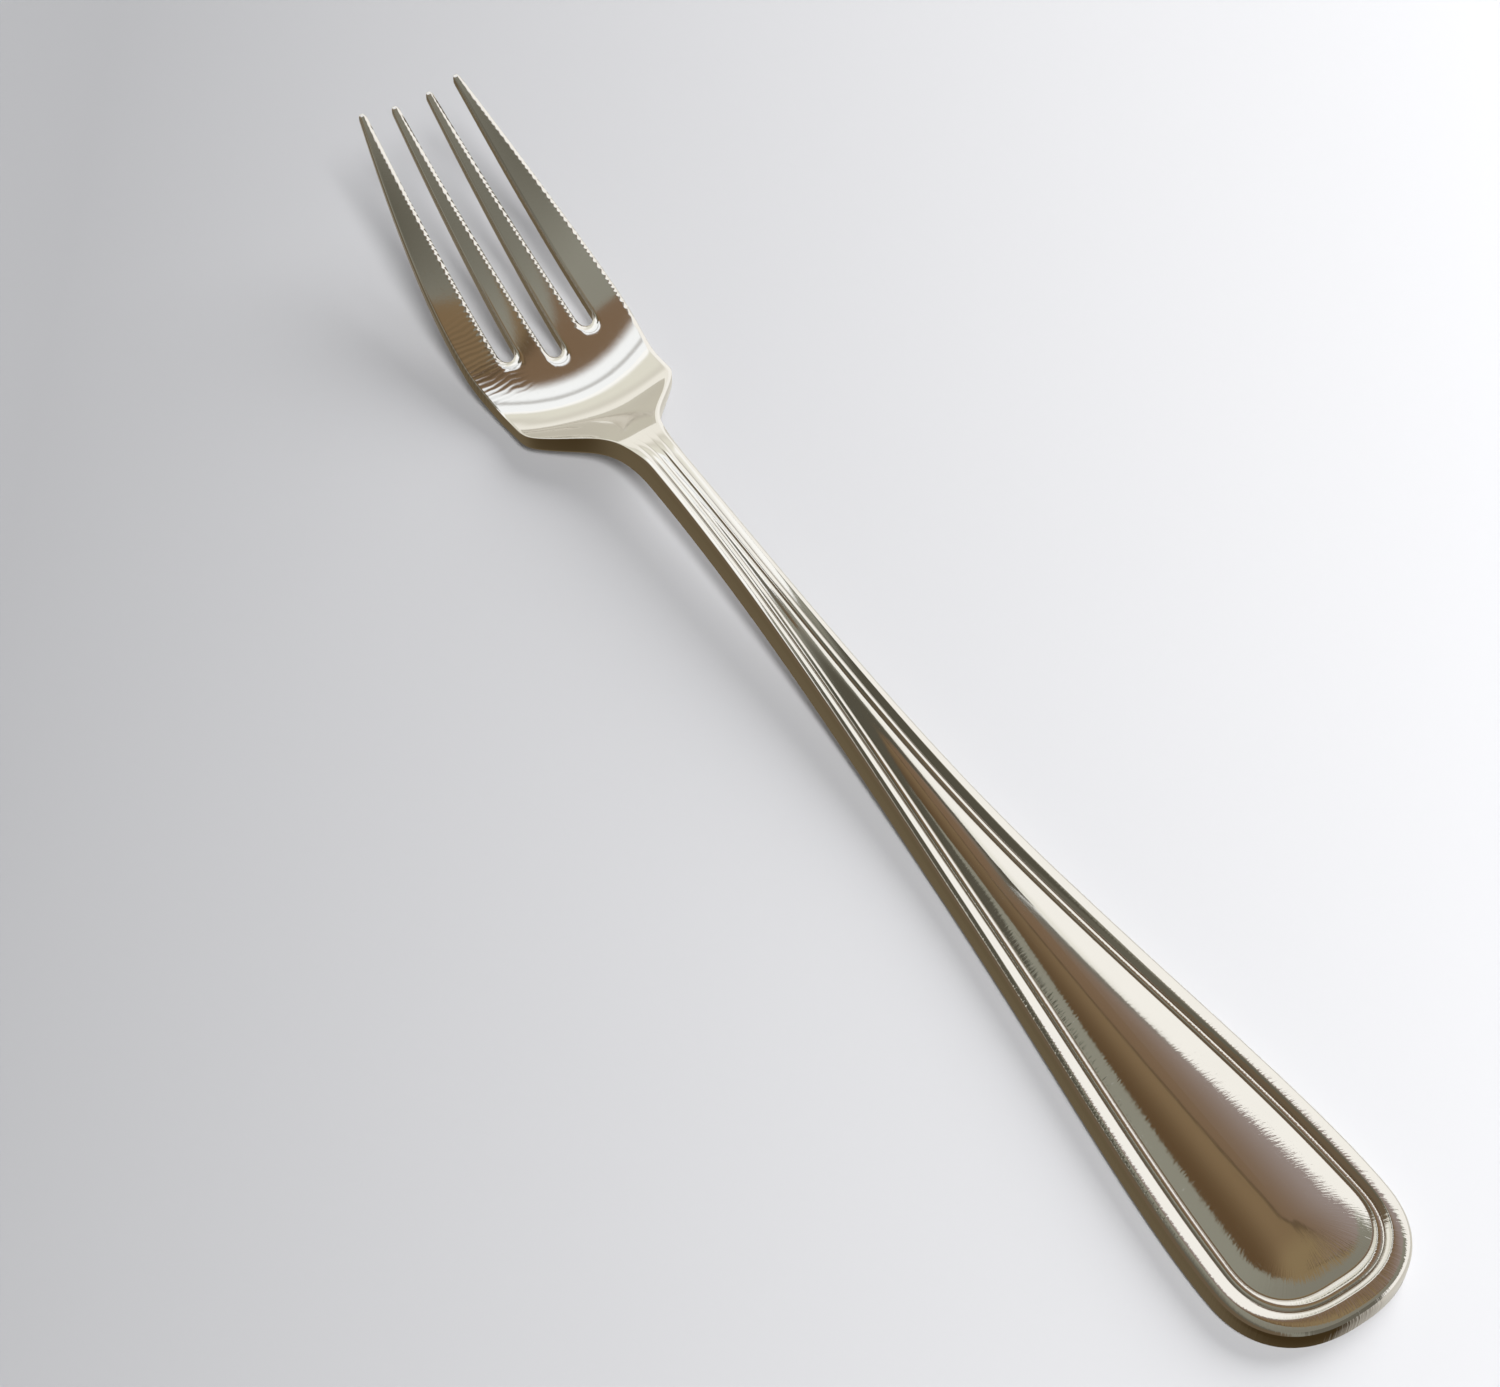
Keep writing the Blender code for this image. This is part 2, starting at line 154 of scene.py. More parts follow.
# Paint of the cards over the fork. Places are in metres.
OLIVE_LEFT = (0.15, 0.092, 0.045)
OLIVE = Paint(-0.05, 0.1, (0.29, 0.2, 0.11))
OLIVE_FRONT = Paint(0.08, 0.25, (0.15, 0.105, 0.06), 0.45)
OLIVE_CORNER = (0.34, 0.25, 0.135)
OLIVE_CORNER_BACK = (0.0, -0.14)
OLIVE_CORNER_RIGHT = (0.0, 0.12)
ROSY = (0.26, 0.172, 0.104)
ROSY_RIGHT = Paint(0.12, 0.5, (0.42, 0.355, 0.34))
BROWN_FRONT = Paint(0.17, 0.2, (0.2, 0.195, 0.165))
BORDER_X = 0.1775
BORDER_SLOPE_FRONT = 0.55
BORDER_SLOPE_BACK = 0.12
BORDER_END = 0.22
BORDER_SOFTNESS = (-0.004, 0.004)
BORDER_LINE = Stripe((-0.012, -0.003), (0.01, 0.0), (0.1, 0.07, 0.04), 0.7)
CEILING_BACK = (0.3, 0.29, 0.24)
CEILING_FRONT = Paint(-0.3, 0.0, (0.36, 0.36, 0.3))
CEILING_LEFT = Paint(-0.2, -0.42, (0.17, 0.16, 0.125))
GREY_BACK = (0.12, 0.112, 0.085)
GREY_FRONT = Paint(0.048, 0.066, (0.36, 0.36, 0.31))
WHITE_EDGE = (0.4, 0.33, 0.28)
WHITE = Paint(0.0785, 0.0835, (1.32, 1.38, 1.45))
WHITE_LINE = Stripe((0.089, 0.092), (0.0965, 0.093), (0.45, 0.44, 0.42), 0.65)


def length(name, millimetres, description):
    """A size in metres that a user can change."""
    return bpy.props.FloatProperty(name=name, description=description, default=millimetres * MM, min=0.0,
                                   precision=5, unit="LENGTH", subtype="DISTANCE")


def angle(name, degrees, description):
    return bpy.props.FloatProperty(name=name, description=description, default=math.radians(degrees),
                                   unit="ROTATION", subtype="ANGLE")


def number(name, value, description):
    return bpy.props.FloatProperty(name=name, description=description, default=value, precision=4)


def colour(name, rgb, description):
    return bpy.props.FloatVectorProperty(name=name, description=description, default=rgb, size=3,
                                         min=0.0, soft_max=1.0, subtype="COLOR")


def direction(name, towards, description):
    return bpy.props.FloatVectorProperty(name=name, description=description, default=towards, size=3,
                                         subtype="DIRECTION")


class ForkOutline(bpy.types.PropertyGroup):
    """Sizes of the fork seen from above and from the side."""

    end_round: length("End round", 10.2, "Length of the handle's rounded end")
    taper_length: length("Taper", 115.1, "Rounded end to the narrowest place of the neck")
    flare_length: length("Flare", 13.4, "Neck to the place where the heel spreads fastest")
    shoulder_length: length("Shoulder", 6.7, "That place to the full shoulders")
    palm_length: length("Palm", 9.0, "Full shoulders to the widest place of the head")
    tine_reach: length("Tine reach", 31.1, "Widest place to the outer tips")
    inner_tip_back: length("Inner tips back", 0.6, "How far the inner tips stay behind the outer ones")
    end_width: length("End width", 22.1, "Width of the handle's end")
    neck_width: length("Neck width", 4.9, "Width of the neck")
    flare_width: length("Flare width", 15.9, "Width where the heel spreads fastest")
    shoulder_width: length("Shoulder width", 20.9, "Width of the shoulders")
    head_width: length("Head width", 22.4, "Widest place of the head")
    tip_width: length("Tip width", 1.05, "Width of one tine at its tip")
    tip_round: length("Tip round", 0.45, "Radius of the corners of each tip")
    inner_tips: length("Inner tips", 4.8, "Between the middles of the two inner tips")
    outer_tips: length("Outer tips", 13.2, "Between the middles of the two outer tips")
    end_squareness: number("End squareness", 2.37, "2 is an ellipse, more is squarer")
    taper_pull_end: length("Taper pull, end", 20.5, "How far the taper keeps the end's direction")
    taper_pull_neck: length("Taper pull, neck", 63.9, "How far the taper keeps the neck's direction")
    heel_pull_neck: length("Heel pull, neck", 9.1, "How far the heel keeps the neck's direction")
    flare_pull_neck: length("Flare pull, neck", 5.1, "How far the flare runs straight towards the neck")
    flare_pull_shoulder: length("Flare pull, shoulder", 4.2, "How far it runs straight towards the shoulder")
    heel_pull_shoulder: length("Heel pull, shoulder", 3.9, "How far the heel keeps the shoulder's direction")
    palm_pull: length("Palm pull", 3.0, "Roundness of the head's sides at the palm")
    tine_pull_palm: length("Tine pull, palm", 8.2, "Roundness of the outer sides beside the palm")
    tine_pull_tip: length("Tine pull, tip", 11.7, "Straightness of the outer sides near the tips")
    flare_angle: angle("Flare angle", 43.0, "How far the heel's sides open")
    shoulder_angle: angle("Shoulder angle", 3.0, "How far the sides still open at the shoulders")
    tip_taper: angle("Tip taper", 11.9, "How far the outer sides close at the tips")
    slot_width: length("Slot width", 2.25, "Width of a slot at its round bottom")
    outer_slots: length("Outer slots", 11.1, "Between the middles of the two outer slots")
    middle_slot_length: length("Middle slot", 34.1, "Middle slot's bottom to the outer tips")
    outer_slot_length: length("Outer slot", 32.2, "Length of the outer slots")
    slot_side_curve: number("Slot side curve", 1.2, "1 is a straight taper of the tines")
    rest_length: length("Rest length", 58.0, "Length of the handle that lies flat")
    crest_past_neck: length("Crest past neck", 1.3, "Neck to the top of the arch")
    crest_lift: length("Crest lift", 4.15, "Height of the arch")
    belly_before_shoulder: length("Belly before shoulder", 1.3, "Shoulders to the head's lowest place")
    tip_lift: length("Tip lift", 18.75, "Height of the tips")
    tine_curl: number("Tine curl", 1.37, "1 is a straight rise to the tips, more bends later")
    worn_flat: length("Worn flat", 0.15, "Depth that the resting places are worn flat")
    end_thickness: length("End thickness", 3.2, "Metal at the handle's end")
    neck_thickness: length("Neck thickness", 3.7, "Metal at the neck")
    palm_thickness: length("Palm thickness", 2.05, "Metal at the palm")
    tip_thickness: length("Tip thickness", 1.0, "Metal at the tips")
    dish_depth: length("Dish depth", 0.75, "How far the palm's sides stand above its middle")
    belly_bow: length("Belly bow", 2.6, "How far the belly's line bends towards the tips at the sides")


class ForkRelief(bpy.types.PropertyGroup):
    """Sizes of the threads on the handle and of the rounded edges."""

    rim_width: length("Rim", 2.55, "Width of the rim beside the panel's widest place")
    rim_width_end: length("Rim at the end", 2.9, "Width of the rim round the end")
    rim_width_neck: length("Rim at the neck", 1.25, "Width of the rim at the neck")
    rim_shoulder: length("Rim shoulder", 1.1, "How far the rim rounds down to the side wall")
    rim_round: length("Rim round", 0.5, "Width of the round-over between the rim and the side wall")
    rim_foot: angle("Rim foot", 46, "Slope of the arc that is as high as the rim")
    rim_ridge: number("Rim ridge", 1.18, "2 is a round rim, 1 a roof with two flat sides")
    rim_ridge_end: number("Rim ridge, end", 2.5, "The same round the end")
    rim_crest_neck: number("Rim crest, neck", 0.58, "Its crest at the neck, outline (0) to groove (1)")
    rim_crest_left: number("Rim crest, left", 0.38, "Place of the crest from outline (0) to groove (1)")
    rim_crest_right: number("Rim crest, right", 0.76, "The same on the right side")
    rim_crest_end: number("Rim crest, end", 0.62, "The same round the end")
    bead_width: length("Bead", 1.0, "Width of the bead inside the rim")
    bead_width_end: length("Bead at the end", 1.4, "Width of the bead round the end")
    bead_width_neck: length("Bead at the neck", 0.85, "Width of the bead at the neck")
    bead_crest: number("Bead crest", 0.68, "Place of its crest on the right side, from rim (0) to panel (1)")
    bead_crest_end: number("Bead crest, end", 0.28, "The same round the end")
    right_spread: length("Right spread", 0.5, "How much wider the rim is halfway along the right side")
    bead_foot: angle("Bead foot", 50, "Slope where the bead meets the groove")
    bead_step: length("Bead step", 0.2, "How much lower the groove inside the bead lies round the end")
    panel_foot: angle("Panel foot", 22, "Slope where the panel meets the groove")
    panel_end: length("Panel end", 12.0, "Handle's end to the place where the panel starts to round down")
    panel_fan: number("Panel fan", 3.0, "How soon the spokes round the end level out along the sides")
    groove_round: length("Groove round", 0.05, "Softness of the bottom of the grooves")
    # Painted shade: how far the darker colour reaches out of the grooves
    groove_shade_width: length("Film width", 0.07, "How far the dull film reaches out of the grooves")
    thread_fade: length("Thread fade", 7.0, "Length over which the threads run out past the neck")
    back_round: length("Back round", 0.6, "Rounding along the back of the handle and of the heel")
    back_round_width: length("Back round width", 1.45, "Width of that rounding")
    edge_round: length("Edge round", 0.35, "Depth of the rounding of the head's edges")
    edge_width: length("Edge width", 0.65, "Width of the rounding of the head's edges")
    slot_bottom_edge: length("Slot bottom edge", 1.9, "Width of the polished round-over at the slot bottoms")
    slot_bottom_drop: length("Slot bottom drop", 0.75, "Depth of that round-over")
    tick_pitch: length("Tick pitch", 0.72, "Distance between the shear ticks on the tines' edges")
    tick_depth: number("Tick depth", 0.6, "How much narrower the round-over is between two ticks")


class SteelFinish(bpy.types.PropertyGroup):
    """Colours and polish of the steel, and the colour of the shade painted into its grooves."""

    steel: colour("Steel", (0.68, 0.655, 0.615), "Polished steel")
    # Painted shade: the darker colour laid into the grooves
    groove_shade_colour: colour("Stain", (0.36, 0.33, 0.28), "Dull film that stays in the grooves")
    roughness: number("Roughness", 0.04, "Roughness of the polished faces")
    streaks: number("Streaks", 0.03, "Extra roughness of the polishing streaks")
    relief: length("Relief", 0.02, "Height that the polishing marks are shares of")
    streak_relief: number("Streak relief", 0.05, "Polishing streaks along the fork")
    tooth_relief: number("Tooth relief", 1.3, "Short polishing marks across the rim and the threads")
    tooth_pitch: length("Tooth pitch", 0.3, "Size of those marks")
    ripple_relief: number("Ripple relief", 0.11, "Ripples at the root of the left tine")
    ripple_pitch: length("Ripple pitch", 0.66, "Distance between the ripples")


class StudioStage(bpy.types.PropertyGroup):
    """Floor, light and camera."""

    # Painted light: the floor's colour pales from the picture's left to its right, in place of light falling
    # off to the left
    floor_dark: colour("Floor, left", (0.35, 0.351, 0.362), "Floor at the picture's left")
    floor_pale: colour("Floor, right", (0.715, 0.717, 0.735), "Floor at the picture's right")
    # Painted light: the floor glows by itself with this share of its brightness, a fill that no shadow takes
    # away
    floor_glow: number("Floor glow", 0.1, "Share of the floor's brightness that no shadow takes away")
    floor_fade: length("Floor fade", 190.0, "Length over which the floor pales")
    floor_reach: length("Floor reach", 2500.0, "Radius of the floor")
    front_light: number("Front light", 3.05, "Strength of the soft light near the camera")
    front_softness: angle("Front softness", 16.0, "Angle that this light spans")
    front_from: direction("Front from", (-0.124, -0.574, 0.81), "Direction that this light comes from")
    side_light: number("Side light", 4.0, "Strength of the soft light on the right")
    side_softness: angle("Side softness", 55.0, "Angle that this light spans")
    side_from: direction("Side from", (0.83, 0.25, 0.5), "Direction that this light comes from")
    target: bpy.props.FloatVectorProperty(name="Target", description="Point that the camera looks at", size=3,
                                          default=(-0.009405, 0.001072, 0.005), unit="LENGTH",
                                          subtype="TRANSLATION", precision=5)
    distance: length("Distance", 332.99, "Camera to its target")
    azimuth: angle("Azimuth", -32.272, "Turn of the camera round the fork")
    elevation: angle("Elevation", 52.459, "Height angle of the camera")
    roll: angle("Roll", -0.79, "Turn of the picture")
    focal_pixels: number("Focal length", 3021.6, "Focal length in pixels of the picture's width")


def mix(a, b, share):
    return a + (b - a) * share


def ease(share):
    """Smooth step from 0 to 1, flat at both ends."""
    share = np.clip(share, 0.0, 1.0)
    return share * share * (3 - 2 * share)


def bezier(*corners):
    """Points of a cubic curve in plan."""
    t = np.linspace(0, 1, CURVE_STEPS + 1)[:, None]
    start, pull_start, pull_end, end = (np.array(corner) for corner in corners)
    near = (1 - t) ** 3 * start + 3 * (1 - t) ** 2 * t * pull_start
    return near + 3 * (1 - t) * t * t * pull_end + t ** 3 * end


def quarter(share):
    """Drop of a rounded edge, 1 at the wall (share 0) and 0 where it meets the face (share 1)."""
    return 1 - np.sqrt(1 - (1 - np.clip(share, 0.0, 1.0)) ** 2)


def bevel(share):
    """Drop of a bevelled edge, 1 at the wall (share 0) and 0 where it meets the face (share 1)."""
    return (1 - np.clip(share, 0.0, 1.0)) ** BEVEL_CURVE


def fall(place, crest):
    """How far a place between two feet (0 and 1) is from the crest (0) to a foot (1)."""
    return np.where(place < crest, 1 - place / crest, (place - crest) / (1 - crest))


def arc_shares(count):
    """Places from 0 to 1, closer together at both ends."""
    return (1 - np.cos(np.linspace(0, math.pi, count + 1))) / 2


def arc_height(width, foot):
    """Height of an arc that stands on a foot of this width and meets it at this angle."""
    return width / 2 * math.tan(foot / 2)


def soft_max(a, b, softness):
    """The larger of two profiles, with the corner between them rounded."""
    near = np.clip(softness - np.abs(a - b), 0.0, None)
    return np.maximum(a, b) + near * near / (4 * softness)


class ForkForm:
    """The fork's shape: where its outline and slots run, and how high its face and back are at a place."""

    def __init__(self, plan, relief):
        self.plan = plan
        self.relief = relief
        self.neck_y = plan.end_round + plan.taper_length
        self.flare_y = self.neck_y + plan.flare_length
        self.shoulder_y = self.flare_y + plan.shoulder_length
        self.widest_y = self.shoulder_y + plan.palm_length
        self.tip_y = self.widest_y + plan.tine_reach
        self.crest_y = self.neck_y + plan.crest_past_neck
        self.belly_y = self.shoulder_y - plan.belly_before_shoulder
        self.middle_y = self.tip_y / 2
        self.inner_tip_y = self.tip_y - plan.inner_tip_back
        self.tip_start = self.tip_y - plan.tip_round
        self.slot_radius = plan.slot_width / 2
        self.middle_centre_y = self.tip_y - plan.middle_slot_length + self.slot_radius
        self.outer_centre_y = self.tip_y - plan.outer_slot_length + self.slot_radius
        self.base_y = self.middle_centre_y - ROOT_SPAN * plan.slot_width
        self.side = self.side_outline()

    def side_outline(self):
        """Half of the plan outline past the rounded end, as (x, y) points."""
        plan = self.plan
        end, neck, flare = plan.end_width / 2, plan.neck_width / 2, plan.flare_width / 2
        shoulder, head = plan.shoulder_width / 2, plan.head_width / 2
        tips = plan.outer_tips / 2 + plan.tip_width / 2
        sine, cosine = math.sin(plan.flare_angle), math.cos(plan.flare_angle)
        opening, taper = math.tan(plan.shoulder_angle), math.tan(plan.tip_taper)
        curves = [
            bezier((end, plan.end_round), (end, plan.end_round + plan.taper_pull_end),
                   (neck, self.neck_y - plan.taper_pull_neck), (neck, self.neck_y)),
            bezier((neck, self.neck_y), (neck, self.neck_y + plan.heel_pull_neck),
                   (flare - sine * plan.flare_pull_neck, self.flare_y - cosine * plan.flare_pull_neck),
                   (flare, self.flare_y)),
            bezier((flare, self.flare_y),
                   (flare + sine * plan.flare_pull_shoulder,
                    self.flare_y + cosine * plan.flare_pull_shoulder),
                   (shoulder - opening * plan.heel_pull_shoulder, self.shoulder_y - plan.heel_pull_shoulder),
                   (shoulder, self.shoulder_y)),
            bezier((shoulder, self.shoulder_y),
                   (shoulder + opening * plan.palm_pull, self.shoulder_y + plan.palm_pull),
                   (head, self.widest_y - plan.palm_pull), (head, self.widest_y)),
            bezier((head, self.widest_y), (head, self.widest_y + plan.tine_pull_palm),
                   (tips + taper * plan.tine_pull_tip, self.tip_start - plan.tine_pull_tip),
                   (tips, self.tip_start)),
        ]
        turn = np.linspace(0, math.pi / 2, CURVE_STEPS)
        corner = np.stack([tips - plan.tip_round * (1 - np.cos(turn)),
                           self.tip_start + plan.tip_round * np.sin(turn)], -1)
        return np.concatenate(curves + [corner])

    def half(self, y):
        """Half width of the outline."""
        return np.interp(y, self.side[:, 1], self.side[:, 0])

    def slot_side(self, y, bottom_x, tip_x, outwards, centre_y):
        """Side of a slot. Below the slots it follows the outline, so that the lanes run on to the neck."""
        plan = self.plan
        share = np.clip((y - centre_y) / (self.tip_start - centre_y), 0, 1)
        corner = np.clip((y - self.tip_start) / plan.tip_round, 0, 1)
        side = mix(bottom_x, tip_x, share ** plan.slot_side_curve)
        side = side + outwards * plan.tip_round * (1 - np.sqrt(1 - corner ** 2))
        return side * np.where(y < self.base_y, self.half(y) / self.half(self.base_y), 1.0)

    def slot_sides(self, y):
        """Right and left side of the outer slot, and right side of the middle slot."""
        plan = self.plan
        radius, half_tip = self.slot_radius, plan.tip_width / 2
        middle, inner, outer = plan.outer_slots / 2, plan.inner_tips / 2, plan.outer_tips / 2
        return (
            self.slot_side(y, middle + radius, outer - half_tip, 1, self.outer_centre_y),
            self.slot_side(y, middle - radius, inner + half_tip, -1, self.outer_centre_y),
            self.slot_side(y, radius, inner - half_tip, 1, self.middle_centre_y),
        )

    def lift(self, y):
        """Height of the back above the table, before the resting places are worn flat."""
        plan = self.plan
        rising = ease((y - plan.rest_length) / (self.crest_y - plan.rest_length))
        falling = 1 - ease((y - self.crest_y) / (self.belly_y - self.crest_y))
        arch = plan.crest_lift * np.where(y < self.crest_y, rising, falling)
        rise = np.clip(y - self.belly_y, 0, None) / (self.tip_y - self.belly_y)
        return arch + plan.tip_lift * rise ** plan.tine_curl

    def thickness(self, y):
        plan = self.plan
        handle = mix(plan.end_thickness, plan.neck_thickness, y / self.crest_y)
        heel = mix(plan.neck_thickness, plan.palm_thickness,
                   ease((y - self.crest_y) / (self.belly_y - self.crest_y)))
        tines = mix(plan.palm_thickness, plan.tip_thickness, (y - self.belly_y) / (self.tip_y - self.belly_y))
        return np.where(y < self.crest_y, handle, np.where(y < self.belly_y, heel, tines))

    def sideways(self, x, y, half):
        """How far a place of the palm lies to the side (0 to 1), less towards the neck and the tips."""
        opened = ease((y - self.neck_y) / (self.shoulder_y - self.neck_y))
        opened = opened * (1 - ease((y - self.widest_y) / self.plan.tine_reach))
        return opened * (x / np.maximum(half, MM)) ** 2

    def rows(self):
        """Outer point of every row, its place on the middle line, and how far it is round the end."""
        plan = self.plan
        turn = np.linspace(0, math.pi / 2, END_ROWS + 1)[:-1]
        power = 2 / plan.end_squareness
        end_x = plan.end_width / 2 * np.sin(turn) ** power
        end_y = plan.end_round * (1 - np.cos(turn) ** power)
        tip_turn = np.linspace(0, math.pi / 2, TIP_ROWS + 1)
        stretches = [
            np.linspace(plan.end_round, self.neck_y, TAPER_ROWS + 1),
            np.linspace(self.neck_y, self.base_y, HEEL_ROWS + 1),
            np.linspace(self.base_y, self.middle_centre_y, ROOT_ROWS + 1),
            np.linspace(self.middle_centre_y, self.outer_centre_y, FORK_ROWS + 1),
            np.linspace(self.outer_centre_y, self.tip_start, TINE_ROWS + 1),
            self.tip_start + plan.tip_round * np.sin(tip_turn),
        ]
        side_y = np.concatenate([stretches[0][:1]] + [stretch[1:] for stretch in stretches])
        outer_x = np.concatenate([end_x, self.half(side_y)])
        outer_y = np.concatenate([end_y, side_y])
        round_end = np.concatenate([np.cos(turn) ** 2, np.zeros_like(side_y)])
        fan = self.relief.panel_fan
        fanned_y = (outer_y ** fan + self.relief.panel_end ** fan) ** (1 / fan)
        axis_y = mix(fanned_y, outer_y, ease((outer_y - self.neck_y) / self.relief.thread_fade))
        return outer_x, outer_y, axis_y, round_end

    def thread_sizes(self, outer_x, outer_y, round_end, side):
        """Columns of the sizes of the rim, bead and panel on every row: along the sides, and as they lie."""
        plan, relief = self.plan, self.relief
        neck = plan.neck_width / 2
        round_end = round_end[:, None]
        half = np.where(outer_y < plan.end_round, plan.end_width / 2, outer_x)[:, None]
        grown = np.clip((half - neck) / (plan.end_width / 2 - neck), 0, 1)
        side_rim = mix(relief.rim_width_neck, relief.rim_width, grown)
        if side > 0:
            side_rim = side_rim + relief.right_spread * SPREAD_TOP * grown * (1 - grown) ** 2
        side_bead = mix(relief.bead_width_neck, relief.bead_width, grown)
        side_crest = relief.rim_crest_right if side > 0 else relief.rim_crest_left
        side_crest = mix(relief.rim_crest_neck, side_crest, ease(grown))
        bead_crest = relief.bead_crest if side > 0 else BEAD_MIDDLE
        return SimpleNamespace(
            half=half, grown=grown, side_rim=side_rim, side_bead=side_bead,
            brush=BRUSH_RIGHT if side > 0 else BRUSH_LEFT,
            panel=half - side_rim - side_bead,
            rim=mix(side_rim, relief.rim_width_end, round_end),
            bead=mix(side_bead, relief.bead_width_end, round_end),
            crest=mix(side_crest, relief.rim_crest_end, round_end),
            bead_crest=mix(bead_crest, relief.bead_crest_end, round_end),
            ridge=mix(relief.rim_ridge, relief.rim_ridge_end, round_end),
            step=relief.bead_step * round_end,
        )

    def handle_lanes(self, spoke, sizes):
        """Distance of every lane from the outline on the handle."""
        outer = sizes.crest * arc_shares(RIM_OUTER_LANES)
        inner = mix(sizes.crest, 1.0, arc_shares(RIM_INNER_LANES)[1:])
        across = arc_shares(BEAD_LANES)[1:]
        panel = np.linspace(0, 1, PANEL_LANES + 1)[1:] ** PANEL_CROWDING
        foot = sizes.rim + sizes.bead
        return np.concatenate([sizes.rim * outer, sizes.rim * inner, sizes.rim + sizes.bead * across,
                               mix(foot, spoke[:, None], panel)], axis=1)

    def tine_lanes(self, right, left):
        """Places across a tine, from its right side to its left side, close together at the rounded edges."""
        edge = np.minimum(self.relief.edge_width, EDGE_LIMIT * (right - left))[:, None]
        inner = np.linspace(0, 1, TINE_LANES - 2 * EDGE_LANES + 1)[1:-1]
        start, end = right[:, None] - edge, left[:, None] + edge
        return np.concatenate([
            right[:, None] - edge * arc_shares(EDGE_LANES),
            mix(start, end, inner),
            left[:, None] + edge * arc_shares(EDGE_LANES)[::-1],
        ], axis=1)

    def head_lanes(self, outer_x, y):
        """Place across of every lane on the head."""
        outer_right, outer_left, middle = self.slot_sides(y)
        turn = np.linspace(0, math.pi, SLOT_LANES + 1)[1:-1]
        half_turn = np.linspace(0, math.pi / 2, HALF_SLOT_LANES + 1)[1:]
        centre = ((outer_right + outer_left) / 2)[:, None]
        reach = ((outer_right - outer_left) / 2)[:, None]
        return np.concatenate([
            self.tine_lanes(outer_x, outer_right),
            centre + reach * np.cos(turn),
            self.tine_lanes(outer_left, middle),
            middle[:, None] * np.cos(half_turn),
        ], axis=1)

    def bend_to_slots(self, y):
        """Place along of every lane on the head. Lanes that end at a slot bend down to its round bottom."""
        bent = np.repeat(y[:, None], LAST_LANE + 1, axis=1)
        past = np.clip(y - self.base_y, 0, None)[:, None]
        turn = np.linspace(0, math.pi, SLOT_LANES + 1)
        half_turn = np.linspace(0, math.pi / 2, HALF_SLOT_LANES + 1)
        for first, turns, centre_y in ((OUTER_SLOT_LANE, turn, self.outer_centre_y),
                                       (HALF_SLOT_LANE, half_turn, self.middle_centre_y)):
            drop = self.slot_radius * np.sin(turns) / (centre_y - self.base_y)
            bent[:, first:first + len(turns)] -= past * drop
        reached = np.clip((y - self.outer_centre_y) / (self.tip_y - self.outer_centre_y), 0, 1)[:, None]
        bent[:, INNER_TINE_LANE:HALF_SLOT_LANE + 1] -= self.plan.inner_tip_back * reached ** 2
        return bent

    def panel_reach(self, x, y, sizes):
        """How far a place of the panel is from its middle line (0) to its foot (1), rounded at the end."""
        relief, power = self.relief, self.plan.end_squareness
        rounded = relief.panel_end - relief.rim_width_end - relief.bead_width_end
        beyond = np.clip(relief.panel_end - y, 0, None) / rounded
        reach = ((x / sizes.panel) ** power + beyond ** power) ** (1 / power)
        return reach / reach[:, FOOT_LANE:FOOT_LANE + 1]

    def threads(self, distance, x, y, sizes):
        """Height of the handle's face, counted from the rim's crest, how near the grooves a place is, and
        how much of the cross polish it has."""
        relief = self.relief
        depth = arc_height(sizes.side_rim, relief.rim_foot)
        crown = arc_height(2 * sizes.panel, relief.panel_foot)
        ridge = -depth * np.clip(fall(distance / sizes.rim, sizes.crest), 0, 1) ** sizes.ridge
        ridge = ridge - (relief.rim_shoulder - depth) * quarter(distance / relief.rim_round)
        across = (distance - sizes.rim) / sizes.bead
        thread = arc_height(sizes.side_bead, relief.bead_foot) * (1 - fall(across, sizes.bead_crest) ** 2)
        thread = thread - depth - sizes.step * np.clip(across, 0, 1)
        reach = self.panel_reach(x, y, sizes)
        panel = mix(crown, -sizes.step, reach ** 2) - depth
        face = soft_max(ridge, thread, relief.groove_round)
        face = np.where(across < BEAD_MIDDLE, face, soft_max(thread, panel, relief.groove_round))
        # Closeness to the grooves, which sets where shade is painted into them
        near = np.minimum(np.abs(across), np.abs(across - 1)) * sizes.bead
        brushed = ease(BRUSH_SLOPE * (sizes.grown - BRUSH_START)) * (1 - ease(sizes.brush * (1 - reach)))
        return face, np.exp(-(near / relief.groove_shade_width) ** 2), brushed

    def slot_distance(self, x, y, sides):
        """Distance to the nearest slot, how far a place lies below that slot's round bottom (0 to 1), and
        whether the slot lies on the place's outer side."""
        def one_slot(centre_x, centre_y, beside):
            spoke = np.hypot(x - centre_x, y - centre_y)
            under = np.clip((centre_y - y) / np.maximum(spoke, NEAREST), 0, 1)
            return np.where(y < centre_y, spoke - self.slot_radius, beside), under

        outer_right, outer_left, middle = (side[:, None] for side in sides)
        outer_x = self.plan.outer_slots / 2
        beside_outer = np.where(x > outer_x, x - outer_right, outer_left - x)
        to_outer, under_outer = one_slot(outer_x, self.outer_centre_y, beside_outer)
        to_middle, under_middle = one_slot(0.0, self.middle_centre_y, x - middle)
        nearer = to_outer < to_middle
        distance = np.where(nearer, to_outer, to_middle)
        return distance, np.where(nearer, under_outer, under_middle), nearer & (x < outer_x)

    def ticks(self, x, y):
        """How much the shear ticks narrow the tines' round-over, out of step from tine to tine."""
        turns = 2 * math.pi * y / self.relief.tick_pitch + TICK_SHIFT * x
        sway = np.sin(2 * math.pi * y / TICK_SWAY + TICK_SHIFT * x)
        wave = 0.5 + 0.5 * np.cos(turns + TICK_CROWDING * sway)
        root = 1 - TICK_FADE * ease((y - self.widest_y) / self.plan.tine_reach)
        return 1 - self.relief.tick_depth * wave * root * ease((y - self.shoulder_y) / self.plan.palm_length)

